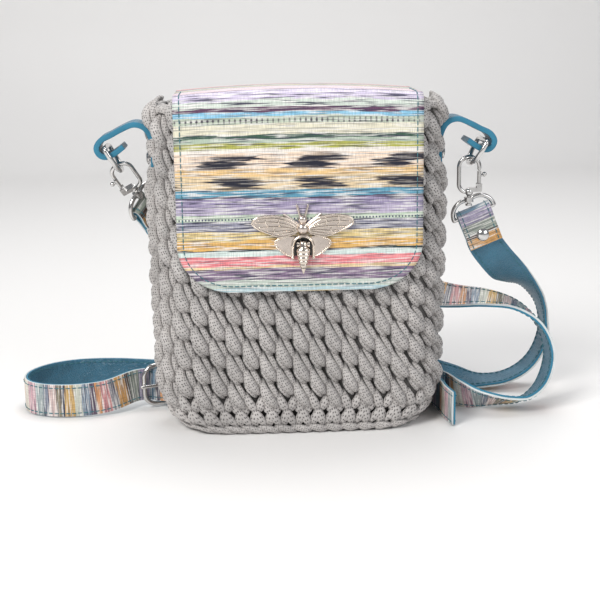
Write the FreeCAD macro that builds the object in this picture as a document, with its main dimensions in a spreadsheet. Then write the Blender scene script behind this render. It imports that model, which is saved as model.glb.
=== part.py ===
import FreeCAD, Part, Sketcher
import os
from math import sin, cos, tan, radians, atan2

# A small crochet cord bag with a curved flap, a bee clasp and a two-part leather strap.
# Frame: +Z up, the front faces -Y, the origin is the middle of the base, millimetres.

V = FreeCAD.Vector
doc = FreeCAD.newDocument("cord_bag")

# ---------------------------------------------------------------- driving sizes
SIZES = {
    "bag_width": 170.0,        # outside, side to side
    "bag_depth": 58.0,         # outside, front to back
    "bag_height": 198.0,       # to the top of the rim chain
    "wall": 8.0,               # crochet thickness
    "corner": 26.0,            # radius of the upright corners
    "foot_round": 20.0,        # radius of the lower side corners
    "base_thick": 8.0,
    "rim_thick": 6.0,
    "lining_gap": 1.5,
    "lining_thick": 0.7,
    "lining_top": 184.0,
    "board_thick": 2.0,
    "flap_width": 143.0,
    "flap_bottom": 89.0,
    "flap_corner": 29.0,
    "flap_back_end": 150.0,
    "print_thick": 1.2,
    "leather_thick": 1.3,
    "flap_lining": 0.8,
    "bend_inset": 27.0,        # the flap's bend axes stand this far from the middle
    "bend_height": 196.5,
    "bend_radius": 4.5,        # inside of the flap's bends
    "strap_width": 21.0,
    "ring_wire": 1.5,
    "screw_height": 165.0,
    "screw_stem": 2.0,
    "keeper_height": 112.0,
    "keeper_radius": 7.0,
    "tab_width": 20.0,
    "tab_thick": 2.5,
}
sheet = doc.addObject("Spreadsheet::Sheet", "sheet")
for row, (alias, value) in enumerate(SIZES.items(), 1):
    sheet.set(f"A{row}", alias)
    sheet.set(f"B{row}", str(value))
    sheet.setAlias(f"B{row}", alias)
doc.recompute()


def size(alias):
    """The value of one sheet cell."""
    return float(sheet.get(alias))


SLACK = 0.05                   # between pieces that are glued or pass through each other
parts = []


def keep(obj, label):
    """Gives a finished sub-part its label and puts it on the list to write."""
    obj.Label = label
    parts.append(obj)
    return obj


# ---------------------------------------------------------------- sketch helpers
def origin_plane(body, role):
    for feature in body.Origin.OriginFeatures:
        if feature.Role == role:
            return feature
    raise ValueError(role)


def new_body(label):
    body = doc.addObject("PartDesign::Body", label + "_body")
    return keep(body, label)


def sketch_on(body, role, offset=0.0):
    sketch = body.newObject("Sketcher::SketchObject", "sketch")
    sketch.AttachmentSupport = (origin_plane(body, role), "")
    sketch.MapMode = "FlatFace"
    sketch.AttachmentOffset = FreeCAD.Placement(V(0, 0, offset), FreeCAD.Rotation())
    return sketch


def named(sketch, constraint, name, expression):
    """Adds a dimension and binds it to the sheet."""
    index = sketch.addConstraint(constraint)
    sketch.renameConstraint(index, name)
    sketch.setExpression("Constraints." + name, expression)


Constraint = Sketcher.Constraint


def rounded_rectangle(sketch, exprs, values, tag):
    """Centred rectangle with four equal round corners: width, height, radius."""
    (wide, high, radius) = values
    (x, y) = (wide / 2, high / 2)
    (a, b) = (x - radius, y - radius)
    up = V(0, 0, 1)
    first = sketch.GeometryCount
    lines = [((-a, -y), (a, -y)), ((x, -b), (x, b)), ((a, y), (-a, y)), ((-x, b), (-x, -b))]
    for (start, end) in lines:
        sketch.addGeometry(Part.LineSegment(V(*start, 0), V(*end, 0)), False)
    centres = [(a, -b, -90), (a, b, 0), (-a, b, 90), (-a, -b, 180)]
    for (cx, cy, turn) in centres:
        circle = Part.Circle(V(cx, cy, 0), up, radius)
        arc = Part.ArcOfCircle(circle, radians(turn), radians(turn + 90))
        sketch.addGeometry(arc, False)
    for side in range(4):
        line = first + side
        arc = first + 4 + side
        following = first + (side + 1) % 4
        sketch.addConstraint(Constraint("Tangent", line, 2, arc, 1))
        sketch.addConstraint(Constraint("Tangent", arc, 2, following, 1))
        kind = "Horizontal" if side % 2 == 0 else "Vertical"
        sketch.addConstraint(Constraint(kind, line))
    for side in range(3):
        sketch.addConstraint(Constraint("Equal", first + 4, first + 5 + side))
    named(sketch, Constraint("Radius", first + 4, radius), tag + "_radius", exprs[2])
    named(sketch, Constraint("DistanceX", -1, 1, first + 1, 1, x), tag + "_right", f"({exprs[0]})/2")
    named(sketch, Constraint("DistanceX", first + 3, 1, -1, 1, x), tag + "_left", f"({exprs[0]})/2")
    named(sketch, Constraint("DistanceY", -1, 1, first + 2, 1, y), tag + "_top", f"({exprs[1]})/2")
    named(sketch, Constraint("DistanceY", first, 1, -1, 1, y), tag + "_bottom", f"({exprs[1]})/2")


def circle(sketch, centre, radius, exprs, tag):
    """A circle whose centre and radius are bound to the sheet: x, y, radius."""
    index = sketch.addGeometry(Part.Circle(V(*centre, 0), V(0, 0, 1), radius), False)
    for (axis, value, expr) in (("X", centre[0], exprs[0]), ("Y", centre[1], exprs[1])):
        if expr is None:
            sketch.addConstraint(Constraint("PointOnObject", index, 3, -2 if axis == "X" else -1))
            continue
        ends = (-1, 1, index, 3) if value >= 0 else (index, 3, -1, 1)
        named(sketch, Constraint("Distance" + axis, *ends, abs(value)), tag + "_" + axis, expr)
    named(sketch, Constraint("Radius", index, radius), tag + "_radius", exprs[2])


def pad(body, sketch, expression, midplane=False, reverse=False):
    feature = body.newObject("PartDesign::Pad", "pad")
    feature.Profile = sketch
    feature.setExpression("Length", expression)
    feature.SideType = "Symmetric" if midplane else "One side"
    feature.Reversed = reverse
    return feature


def pocket(body, sketch, expression, midplane=False, reverse=False):
    """A pocket that must remove something."""
    doc.recompute()
    before = body.Shape.Volume
    feature = body.newObject("PartDesign::Pocket", "pocket")
    feature.Profile = sketch
    feature.setExpression("Length", expression)
    feature.SideType = "Symmetric" if midplane else "One side"
    feature.Reversed = reverse
    doc.recompute()
    if body.Shape.Volume > before - 0.5:
        raise RuntimeError("a pocket in " + body.Label + " cuts nothing")
    return feature


def revolve(label, profile, placement):
    """A turned piece: a closed profile of (radius, height) points about its own Z."""
    body = new_body(label)
    sketch = sketch_on(body, "XZ_Plane")
    count = len(profile)
    for i in range(count):
        (start, end) = (profile[i], profile[(i + 1) % count])
        sketch.addGeometry(Part.LineSegment(V(*start, 0), V(*end, 0)), False)
    for i in range(count):
        sketch.addConstraint(Constraint("Coincident", i, 2, (i + 1) % count, 1))
        sketch.addConstraint(Constraint("Block", i))
    turn = body.newObject("PartDesign::Revolution", "turn")
    turn.Profile = sketch
    turn.ReferenceAxis = (sketch, ["V_Axis"])
    turn.Angle = 360.0
    body.Placement = placement
    return body


def bent_wire(label, path, radius_alias, placement):
    """A bent rod: a closed path in its own XZ plane that starts at the origin along X."""
    body = new_body(label)
    profile = sketch_on(body, "YZ_Plane")
    index = profile.addGeometry(Part.Circle(V(0, 0, 0), V(0, 0, 1), size(radius_alias)), False)
    profile.addConstraint(Constraint("Coincident", index, 3, -1, 1))
    radius = Constraint("Radius", index, size(radius_alias))
    named(profile, radius, "rod", "sheet." + radius_alias)
    spine = sketch_on(body, "XZ_Plane")
    for i, piece in enumerate(path):
        spine.addGeometry(piece, False)
        spine.addConstraint(Constraint("Block", i))
    pipe = body.newObject("PartDesign::AdditivePipe", "pipe")
    pipe.Profile = profile
    pipe.Spine = (spine, [f"Edge{i + 1}" for i in range(len(path))])
    pipe.Transition = "Round corner"
    body.Placement = placement
    return body


def solid_part(label, shape, placement=None):
    """A free-form piece whose shape no sketch feature describes."""
    if placement is not None:
        shape = shape.copy()
        shape.transformShape(placement.toMatrix())
    feature = doc.addObject("Part::Feature", label + "_shape")
    feature.Shape = shape
    return keep(feature, label)


# ---------------------------------------------------------------- flat-path helpers
def unit(vector):
    result = V(vector)
    result.normalize()
    return result


def rounded_path(points, radii):
    """Straight runs joined by tangent arcs, in a plane: a list of lines and arcs.
    A line is ("line", start, end); an arc is ("arc", centre, radius, from, to) in radians."""
    pieces = []
    start = V(*points[0], 0)
    for i in range(1, len(points) - 1):
        here = V(*points[i], 0)
        back = unit(V(*points[i - 1], 0) - here)
        ahead = unit(V(*points[i + 1], 0) - here)
        half = back.getAngle(ahead) / 2
        reach = radii[i - 1] / tan(half)
        (enter, leave) = (here + back * reach, here + ahead * reach)
        middle = here + unit(back + ahead) * (radii[i - 1] / sin(half))
        pieces.append(("line", start, enter))
        (a, b) = (enter - middle, leave - middle)
        (first, last) = (atan2(a.y, a.x), atan2(b.y, b.x))
        turn = 1 if back.cross(ahead).z < 0 else -1
        while turn > 0 and last < first:
            last += radians(360)
        while turn < 0 and last > first:
            last -= radians(360)
        pieces.append(("arc", middle, radii[i - 1], first, last))
        start = leave
    pieces.append(("line", start, V(*points[-1], 0)))
    return pieces


def offset_edges(pieces, offset):
    """The path moved sideways; a positive offset is to the left of travel."""
    edges = []
    for piece in pieces:
        if piece[0] == "line":
            along = unit(piece[2] - piece[1])
            shift = V(-along.y, along.x, 0) * offset
            edges.append(Part.LineSegment(piece[1] + shift, piece[2] + shift).toShape())
            continue
        (_, middle, radius, first, last) = piece
        radius = radius - offset if last > first else radius + offset
        ends = [middle + V(cos(t), sin(t), 0) * radius for t in (first, (first + last) / 2, last)]
        edges.append(Part.Arc(*ends).toShape())
    return edges


def band(pieces, near, far, low, high):
    """A strip of sheet between two offsets of a flat path, swept from low to high along its normal."""
    one = offset_edges(pieces, near)
    two = offset_edges(pieces, far)
    ends = [(one[0].valueAt(one[0].FirstParameter), two[0].valueAt(two[0].FirstParameter)),
            (one[-1].valueAt(one[-1].LastParameter), two[-1].valueAt(two[-1].LastParameter))]
    caps = [Part.LineSegment(a, b).toShape() for (a, b) in ends]
    wire = Part.Wire(Part.__sortEdges__(one + two + caps))
    face = Part.Face(wire)
    face.translate(V(0, 0, low))
    return face.extrude(V(0, 0, high - low))


def frame_placement(origin, x_axis, y_axis):
    """A placement that takes the local X and Y axes to the given directions."""
    x = unit(V(*x_axis))
    z = unit(x.cross(V(*y_axis)))
    y = z.cross(x)
    rotation = FreeCAD.Rotation(x, y, z, "XYZ")
    return FreeCAD.Placement(V(*origin), rotation)


# ---------------------------------------------------------------- crochet body
def crochet_profile(label, bottom, top):
    """A level slice of the bag's outside: the rounded plan cut by the rounded front outline."""
    body = new_body(label)
    plan = sketch_on(body, "XY_Plane", bottom)
    exprs = ("sheet.bag_width", "sheet.bag_depth", "sheet.corner")
    rounded_rectangle(plan, exprs, (size("bag_width"), size("bag_depth"), size("corner")), "outer")
    return (body, plan, top - bottom)


def trim_feet(body):
    """Rounds the two lower side corners of a slice of the bag."""
    half = size("bag_width") / 2
    radius = size("foot_round")
    for side in (-1, 1):
        sketch = sketch_on(body, "XZ_Plane")
        middle = V(side * (half - radius), radius, 0)
        (far, low) = (side * (half + 5), -5)
        start = V(side * half, radius, 0)
        end = V(side * (half - radius), 0, 0)
        mid = middle + V(side * sin(radians(45)), -sin(radians(45)), 0) * radius
        outline = [start, V(far, radius, 0), V(far, low, 0), V(end.x, low, 0), end]
        for (a, b) in zip(outline, outline[1:]):
            sketch.addGeometry(Part.LineSegment(a, b), False)
        sketch.addGeometry(Part.Arc(end, mid, start), False)
        for i in range(5):
            sketch.addConstraint(Constraint("Block", i))
        pocket(body, sketch, "sheet.bag_depth + 4", midplane=True)


def inner_exprs(gap):
    """Plan of the hollow, drawn in by a gap: expressions and values."""
    exprs = tuple(f"sheet.{name} - 2*(sheet.wall + {gap})" for name in ("bag_width", "bag_depth"))
    exprs += (f"sheet.corner - sheet.wall - ({gap})",)
    value = size("wall") + float(eval_gap(gap))
    values = (size("bag_width") - 2 * value, size("bag_depth") - 2 * value, size("corner") - value)
    return (exprs, values)


def eval_gap(gap):
    """A gap written as a sum of sheet names, as a number."""
    if gap == "0":
        return 0.0
    return sum(size(word.strip().replace("sheet.", "")) for word in gap.split("+"))


(wall_body, wall_plan, _) = crochet_profile("crochet_wall", size("base_thick"), 0)
pad(wall_body, wall_plan, "sheet.bag_height - sheet.rim_thick - sheet.base_thick")
trim_feet(wall_body)
hollow = sketch_on(wall_body, "XY_Plane", size("bag_height"))
(exprs, values) = inner_exprs("0")
rounded_rectangle(hollow, exprs, values, "hollow")
pocket(wall_body, hollow, "sheet.bag_height + 10")
screw_hole = sketch_on(wall_body, "YZ_Plane")
circle(screw_hole, (0, size("screw_height")), size("screw_stem") + SLACK,
       (None, "sheet.screw_height", f"sheet.screw_stem + {SLACK}"), "screw")
pocket(wall_body, screw_hole, "sheet.bag_width + 10", midplane=True)
keeper_hole = sketch_on(wall_body, "XZ_Plane")
circle(keeper_hole, (0, size("keeper_height")), size("screw_stem") + SLACK,
       (None, "sheet.keeper_height", f"sheet.screw_stem + {SLACK}"), "stem")
pocket(wall_body, keeper_hole, "sheet.bag_depth", reverse=True)

(base_body, base_plan, _) = crochet_profile("crochet_base", 0.0, 0)
pad(base_body, base_plan, "sheet.base_thick")
trim_feet(base_body)

(rim_body, rim_plan, _) = crochet_profile("rim_chain", size("bag_height") - size("rim_thick"), 0)
(exprs, values) = inner_exprs("0")
rounded_rectangle(rim_plan, exprs, values, "hollow")
pad(rim_body, rim_plan, "sheet.rim_thick")

# ---------------------------------------------------------------- lining and base board
lining = new_body("lining_bag")
plan = sketch_on(lining, "XY_Plane", size("base_thick") + SLACK)
(exprs, values) = inner_exprs("sheet.lining_gap")
rounded_rectangle(plan, exprs, values, "outer")
pad(lining, plan, "sheet.lining_top - sheet.base_thick")
plan = sketch_on(lining, "XY_Plane", size("lining_top") + 5)
(exprs, values) = inner_exprs("sheet.lining_gap + sheet.lining_thick")
rounded_rectangle(plan, exprs, values, "inner")
pocket(lining, plan, "sheet.lining_top + 5 - sheet.base_thick - sheet.lining_thick")

board = new_body("base_board")
floor_top = size("base_thick") + size("lining_thick") + 2 * SLACK
plan = sketch_on(board, "XY_Plane", floor_top)
(exprs, values) = inner_exprs("sheet.lining_gap + sheet.lining_thick + sheet.board_thick")
rounded_rectangle(plan, exprs, values, "outer")
pad(board, plan, "sheet.board_thick")


# ---------------------------------------------------------------- flap
# The flap is one printed sheet backed by one lining sheet. Each is drawn as a rear,
# a top and a front panel that meet at the two bends.
CLASP_HOLES = (-11.0, 13.5)    # the clasp's two rivets, side to side
CLASP_Z = 126.0
RIVET_RADIUS = 1.2


def flap_panel(label, plane_role, low, high, cut_corners):
    """The outline of one flat panel: the flap's width by a span."""
    body = new_body(label)
    sketch = sketch_on(body, plane_role)
    half = size("flap_width") / 2
    corner = size("flap_corner") if cut_corners else 0.0
    points = [(-half, high), (half, high), (half, low + corner), (-half, low + corner)]
    if not cut_corners:
        for i in range(4):
            (a, b) = (points[i], points[(i + 1) % 4])
            sketch.addGeometry(Part.LineSegment(V(*a, 0), V(*b, 0)), False)
        for i in range(4):
            sketch.addConstraint(Constraint("Coincident", i, 2, (i + 1) % 4, 1))
            sketch.addConstraint(Constraint("Block", i))
    else:
        inset = half - corner
        lines = [(points[0], points[1]), (points[1], points[2]),
                 ((inset, low), (-inset, low)), (points[3], points[0])]
        for (a, b) in lines:
            sketch.addGeometry(Part.LineSegment(V(*a, 0), V(*b, 0)), False)
        slope = corner * (1 - cos(radians(45)))
        right = (V(half, low + corner, 0), V(half - slope, low + slope, 0), V(inset, low, 0))
        left = (V(-inset, low, 0), V(-half + slope, low + slope, 0), V(-half, low + corner, 0))
        sketch.addGeometry(Part.Arc(*right), False)
        sketch.addGeometry(Part.Arc(*left), False)
        for i in range(6):
            sketch.addConstraint(Constraint("Block", i))
        for x in CLASP_HOLES:
            hole = Part.Circle(V(x, CLASP_Z, 0), V(0, 0, 1), RIVET_RADIUS + SLACK)
            sketch.addGeometry(hole, False)
    return (body, sketch)


def sheet_pair(prefix, role, axis_sign, low, high, cut_corners=False):
    """The lining panel and the printed panel over it, at their distances from the middle."""
    inner = "sheet.bend_inset + sheet.bend_radius"
    if role == "XY_Plane":
        inner = "sheet.bend_height + sheet.bend_radius"
    layers = (("lining", inner, "sheet.flap_lining"),
              ("print", inner + " + sheet.flap_lining", "sheet.print_thick"))
    for (layer, offset, thick) in layers:
        (body, sketch) = flap_panel(f"{prefix}_{layer}", role, low, high, cut_corners)
        sketch.setExpression("AttachmentOffset.Base.z", f"{axis_sign}*({offset})")
        pad(body, sketch, thick, reverse=axis_sign < 0)


sheet_pair("flap_rear", "XZ_Plane", -1, size("flap_back_end"), size("bend_height"))
sheet_pair("flap_top", "XY_Plane", 1, -size("bend_inset"), size("bend_inset"))
sheet_pair("flap_front", "XZ_Plane", 1, size("flap_bottom"), size("bend_height"), True)
doc.recompute()

FLAP_FRONT = -(size("bend_inset") + size("bend_radius") + size("flap_lining") + size("print_thick"))
FLAP_INSIDE = -(size("bend_inset") + size("bend_radius"))


# ---------------------------------------------------------------- bee clasp
# The casting lies on the flap. Outlines are (x, z) from the thorax, left side; the right is mirrored.
CLASP_X = 1.2
UPPER_WING = [(-2.0, 1.5), (-9.0, 6.5), (-17.0, 8.2), (-26.0, 7.2), (-29.3, 4.2), (-27.0, 1.2),
              (-21.0, -1.6), (-13.0, -4.2), (-4.5, -2.6)]
LOWER_WING = [(-5.5, -4.5), (-11.5, -4.8), (-16.0, -7.0), (-15.2, -10.4), (-10.0, -14.8), (-7.0, -16.0)]
ARCH_HALF = 6.9                # outside half width of the arch
ARCH_BAR = 1.7
ARCH_TOP = -3.2
ARCH_FOOT = -16.8
TONGUE_Z = -8.6                # the tongue's pivot, below the thorax
TONGUE_REACH = 4.4             # the pivot stands this far off the flap
PIN_RADIUS = 0.8


def clasp_plate(outline, depth, side):
    """A flat casting of a smooth outline, lying on the flap."""
    points = [V(side * -x + CLASP_X if side > 0 else x + CLASP_X, 0, z + CLASP_Z) for (x, z) in outline]
    curve = Part.BSplineCurve()
    curve.interpolate(points, PeriodicFlag=True)
    face = Part.Face(Part.Wire(curve.toShape()))
    face.translate(V(0, FLAP_FRONT, 0))
    return face.extrude(V(0, -depth, 0))


def ball(x, z, radius, proud):
    """A ball sunk in the casting, its top this far off the flap."""
    return Part.makeSphere(radius, V(x + CLASP_X, FLAP_FRONT - proud + radius, z + CLASP_Z))


def limb(start, end, radius, proud):
    """A round bar between two (x, z) points."""
    a = V(start[0] + CLASP_X, FLAP_FRONT - proud, start[1] + CLASP_Z)
    b = V(end[0] + CLASP_X, FLAP_FRONT - proud, end[1] + CLASP_Z)
    bar = Part.makeCylinder(radius, (b - a).Length, a, b - a)
    return bar.fuse(Part.makeSphere(radius, b))


UPPER_THICK = 1.9
LOWER_THICK = 1.4
ARCH_THICK = 2.4


def casting():
    """Wings, feelers, thorax, head and the arch over the tongue, flat on the flap."""
    shapes = []
    for side in (-1, 1):
        shapes.append(clasp_plate(UPPER_WING, UPPER_THICK, side))
        shapes.append(clasp_plate(LOWER_WING, LOWER_THICK, side))
        shapes.append(limb((side * 1.5, 2.0), (side * 10.5, 8.6), 0.75, 1.1))
        shapes.append(limb((side * 1.0, 6.0), (side * 3.2, 13.8), 0.65, 1.3))
    foot = V(CLASP_X, FLAP_FRONT, CLASP_Z + ARCH_TOP - ARCH_HALF)
    ring = Part.makeCylinder(ARCH_HALF, ARCH_THICK, foot, V(0, -1, 0))
    legs = Part.makeBox(2 * ARCH_HALF, ARCH_THICK, ARCH_TOP - ARCH_HALF - ARCH_FOOT,
                        V(CLASP_X - ARCH_HALF, FLAP_FRONT - ARCH_THICK, CLASP_Z + ARCH_FOOT))
    mouth_half = ARCH_HALF - ARCH_BAR
    mouth = Part.makeCylinder(mouth_half, 8, foot + V(0, 1, 0), V(0, -1, 0))
    slot = Part.makeBox(2 * mouth_half, 8, 12,
                        V(CLASP_X - mouth_half, FLAP_FRONT - 7, CLASP_Z + ARCH_TOP - ARCH_HALF - 12))
    body = ring.fuse([legs] + shapes)
    body = body.cut(mouth.fuse(slot))
    (thorax, head) = (ball(0, 0.3, 3.6, 4.4), ball(0, 5.6, 2.7, 3.8))
    body = body.fuse([thorax, head])
    behind = Part.makeBox(80, 20, 80, V(-40, FLAP_FRONT, CLASP_Z - 40))
    return body.cut(behind).removeSplitter()


solid_part("bee_frame", casting())
INSET_THICK = 0.7
INSET_UP = 1.0                 # its lower edge, above the arch's feet
inset_half = ARCH_HALF - ARCH_BAR - SLACK
inset_height = ARCH_TOP - ARCH_BAR - ARCH_FOOT - INSET_UP
inset = Part.makeBox(2 * inset_half, INSET_THICK, inset_height - inset_half,
                     V(CLASP_X - inset_half, FLAP_FRONT - INSET_THICK, CLASP_Z + ARCH_FOOT + INSET_UP))
cap_middle = V(CLASP_X, FLAP_FRONT, CLASP_Z + ARCH_TOP - ARCH_HALF)
inset = inset.fuse(Part.makeCylinder(inset_half, INSET_THICK, cap_middle, V(0, -1, 0)))
solid_part("clasp_inset", inset.removeSplitter())

TONGUE_Y = FLAP_FRONT - TONGUE_REACH
LUG_WIDE = 1.2
LUG_IN = 2.5                   # the lugs' inner faces, from the middle
LUG_ROUND = 1.5
lugs = []
for side in (-1, 1):
    edge = LUG_IN if side > 0 else -LUG_IN - LUG_WIDE
    lug = Part.makeBox(LUG_WIDE, TONGUE_REACH - INSET_THICK, 2 * LUG_ROUND,
                       V(CLASP_X + edge, TONGUE_Y, CLASP_Z + TONGUE_Z - LUG_ROUND))
    boss = Part.makeCylinder(LUG_ROUND, LUG_WIDE, V(CLASP_X + edge, TONGUE_Y, CLASP_Z + TONGUE_Z),
                             V(1, 0, 0))
    hole = Part.makeCylinder(PIN_RADIUS + SLACK, 10,
                             V(CLASP_X - 5, TONGUE_Y, CLASP_Z + TONGUE_Z), V(1, 0, 0))
    lugs.append(lug.fuse(boss).cut(hole).removeSplitter())
solid_part("tongue_lugs", Part.makeCompound(lugs))

pin_half = LUG_IN + LUG_WIDE
pin_place = FreeCAD.Placement(V(CLASP_X - pin_half, TONGUE_Y, CLASP_Z + TONGUE_Z),
                              FreeCAD.Rotation(V(0, 1, 0), 90))
revolve("tongue_pin", [(0, 0), (PIN_RADIUS, 0), (PIN_RADIUS, 2 * pin_half), (0, 2 * pin_half)], pin_place)

# The abdomen: a tapering tail of five rings, hung from the pin.
RING_RADII = (2.3, 3.4, 3.5, 3.1, 2.6, 1.8)
RING_STEP = 2.3
tail = [(0, 2.1), (1.6, 1.7), (2.1, 0.9), (2.2, 0.0)]
for i, radius in enumerate(RING_RADII):
    top = -0.6 - i * RING_STEP
    tail += [(radius - 0.35, top - 0.1), (radius, top - 0.7), (radius, top - RING_STEP + 0.7)]
tail += [(1.0, -0.6 - len(RING_RADII) * RING_STEP), (0, -1.6 - len(RING_RADII) * RING_STEP)]
tongue_place = FreeCAD.Placement(V(CLASP_X, TONGUE_Y, CLASP_Z + TONGUE_Z), FreeCAD.Rotation())
tongue = revolve("bee_tongue", tail, tongue_place)
hole = sketch_on(tongue, "YZ_Plane")
hole.addGeometry(Part.Circle(V(0, 0, 0), V(0, 0, 1), PIN_RADIUS + SLACK), False)
pocket(tongue, hole, "10", midplane=True)

PLATE_THICK = 0.8
plate = new_body("bee_back_plate")
outline = sketch_on(plate, "XZ_Plane", -FLAP_INSIDE)
plate_box = [(-17.0, 118.0), (19.5, 118.0), (19.5, 134.0), (-17.0, 134.0)]
for i in range(4):
    (a, b) = (plate_box[i], plate_box[(i + 1) % 4])
    outline.addGeometry(Part.LineSegment(V(*a, 0), V(*b, 0)), False)
    outline.addConstraint(Constraint("Block", i))
for x in CLASP_HOLES:
    outline.addGeometry(Part.Circle(V(x, CLASP_Z, 0), V(0, 0, 1), RIVET_RADIUS + SLACK), False)
pad(plate, outline, str(PLATE_THICK), reverse=True)

rivet_length = FLAP_INSIDE + PLATE_THICK - FLAP_FRONT
rivets = [Part.makeCylinder(RIVET_RADIUS, rivet_length, V(x, FLAP_FRONT, CLASP_Z), V(0, 1, 0))
          for x in CLASP_HOLES]
solid_part("bee_rivets", Part.makeCompound(rivets))

# The magnet on the bag under the clasp, with its stem through the crochet and a washer inside.
bag_front = -size("bag_depth") / 2
wall_inside = bag_front + size("wall")
stem = size("screw_stem")
WASHER_THICK = 0.8
WASHER_RADIUS = 6.0
MAGNET_THICK = 0.9
face_out = FreeCAD.Rotation(V(1, 0, 0), 90)
keeper_place = FreeCAD.Placement(V(0, wall_inside + WASHER_THICK, size("keeper_height")), face_out)
reach = size("wall") + WASHER_THICK
magnet = size("keeper_radius")
revolve("clasp_keeper", [(0, 0), (stem, 0), (stem, reach), (magnet, reach),
                         (magnet, reach + MAGNET_THICK), (0, reach + MAGNET_THICK)], keeper_place)
washer_place = FreeCAD.Placement(V(0, wall_inside + WASHER_THICK, size("keeper_height")), face_out)
revolve("keeper_washer", [(stem + SLACK, 0), (WASHER_RADIUS, 0), (WASHER_RADIUS, WASHER_THICK - SLACK),
                          (stem + SLACK, WASHER_THICK - SLACK)], washer_place)

# ---------------------------------------------------------------- side tabs and their screws
half_width = size("bag_width") / 2
tab_thick = size("tab_thick")
RING_BAR = (113.0, 172.0)      # the D-ring's straight bar, (x, z)
TAB_OFF = 0.3                  # between the tab and the bag's side
leg_x = half_width + TAB_OFF + tab_thick / 2
SCREW_FOOT = 4.5               # radius of the screw's inner flange
SCREW_HEAD = 4.0


def tab_path():
    """The tab's middle line in (x, z): up the bag's side, over, and round the ring's bar."""
    (bar_x, bar_z) = RING_BAR
    points = [(leg_x, 156.0), (leg_x, 184.5), (bar_x + 1.4, bar_z + 8.0),
              (bar_x + 5.0, bar_z - 5.0), (bar_x - 8.5, bar_z - 0.6), (bar_x - 13.0, bar_z + 3.2)]
    return rounded_path(points, [9.0, 3.4, 3.2, 4.0])


def upright(shape, side):
    """Turns a shape drawn in XY into the XZ plane, and mirrors it for the left side."""
    shape.rotate(V(0, 0, 0), V(1, 0, 0), 90)
    return shape.mirror(V(0, 0, 0), V(1, 0, 0)) if side < 0 else shape


def side_name(side):
    return "right" if side > 0 else "left"


for side in (1, -1):
    half_tab = size("tab_width") / 2
    strip = band(tab_path(), -tab_thick / 2, tab_thick / 2, -half_tab, half_tab)
    strip = upright(strip, side)
    hole = Part.makeCylinder(stem + SLACK, tab_thick + 2, V(side * (half_width - 0.5), 0,
                             size("screw_height")), V(side, 0, 0))
    solid_part("tab_" + side_name(side), strip.cut(hole))
    inside = half_width - size("wall")
    grip = size("wall") + TAB_OFF + tab_thick
    turn = FreeCAD.Rotation(V(0, 1, 0), 90 * side)
    place = FreeCAD.Placement(V(side * inside, 0, size("screw_height")), turn)
    revolve("tab_screw_" + side_name(side),
            [(0, -1.1), (SCREW_FOOT, -1.1), (SCREW_FOOT, -0.15), (stem, -0.15), (stem, grip),
             (SCREW_HEAD, grip), (SCREW_HEAD, grip + 0.8), (SCREW_HEAD - 0.8, grip + 1.5),
             (0, grip + 1.8)], place)

# ---------------------------------------------------------------- D-rings
RING_HALF = 12.0               # half the bar, between the wire's middles
RING_SIDE = 4.5
HANG = (-0.5, -0.866)          # the ring hangs from its bar in this (x, z) direction


def d_path(half, side_run, corner):
    """A D in its own XZ plane, starting in the middle of its straight bar."""
    arc_z = -side_run

    def point(x, z):
        return V(x, z, 0)

    quarter = corner * (1 - cos(radians(45)))
    right = Part.Arc(point(half - corner, 0), point(half - quarter, -quarter), point(half, -corner))
    left = Part.Arc(point(-half, -corner), point(-half + quarter, -quarter), point(-half + corner, 0))
    bow = Part.Arc(point(half, arc_z), point(0, arc_z - half), point(-half, arc_z))
    lines = [(point(0, 0), point(half - corner, 0)), (point(half, -corner), point(half, arc_z)),
             (point(-half, arc_z), point(-half, -corner)), (point(-half + corner, 0), point(0, 0))]
    lines = [Part.LineSegment(*ends) for ends in lines]
    return [lines[0], right, lines[1], bow, lines[2], left, lines[3]]


for side in (1, -1):
    place = frame_placement((side * RING_BAR[0], 0, RING_BAR[1]), (0, side, 0),
                            (side * HANG[1], 0, -HANG[0]))
    bent_wire("d_ring_" + side_name(side), d_path(RING_HALF, RING_SIDE, 2.2), "ring_wire", place)

# ---------------------------------------------------------------- snap hooks
# A hook is drawn hanging: its own Z points up along it, its own X is across its mouth and
# its origin is the middle of the wire that it hangs on.
HOOK_WIRE = 1.3
HOOK_HALF = 6.2                # half the eye, between the wire's middles
EYE_TOP = size("ring_wire") + HOOK_WIRE + 1.2
PIVOT = (HOOK_HALF, -13.6)     # the gate's pin, in the hook's own XZ plane
CATCH_Z = -3.2                 # where the eye's open end stops
NECK_Z = -19.0
NECK_RADIUS = 2.6
STEM_RADIUS = 1.15             # the stem that the swivel loop turns on
STEM_LONG = 5.5
STEM_HEAD = 2.1
GATE_PIN = 0.7
EAR_THICK = 0.9
EAR_OUT = 1.85                 # the middle of an ear, from the hook's plane
ring_drop = RING_SIDE + RING_HALF
HOOK_UP = {1: (0.0, 0.0, 1.0), -1: (-0.39, -0.55, 0.74)}
HOOK_LIFT = {1: 0.0, -1: 1.0}  # the leaning hook crosses the ring's wire at a slant


def hook_place(side):
    """Where a hook hangs: upright on the right, leaning in behind the bag on the left."""
    wire = V(side * (RING_BAR[0] + HANG[0] * ring_drop), 0, RING_BAR[1] + HANG[1] * ring_drop)
    up = unit(V(*HOOK_UP[side]))
    across = unit(V(0, side, 0).cross(up))
    rotation = FreeCAD.Rotation(across, up.cross(across), up, "XYZ")
    return FreeCAD.Placement(wire + up * HOOK_LIFT[side], rotation)


def rod(edges, radius):
    """Round bar along each edge, with a ball at every joint."""
    pieces = []
    for edge in edges:
        start = edge.valueAt(edge.FirstParameter)
        ring = Part.Wire(Part.Circle(start, edge.tangentAt(edge.FirstParameter), radius).toShape())
        pieces.append(Part.Wire(edge).makePipeShell([ring], True, True))
        pieces.append(Part.makeSphere(radius, start))
    return pieces[0].fuse(pieces[1:])


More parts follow.
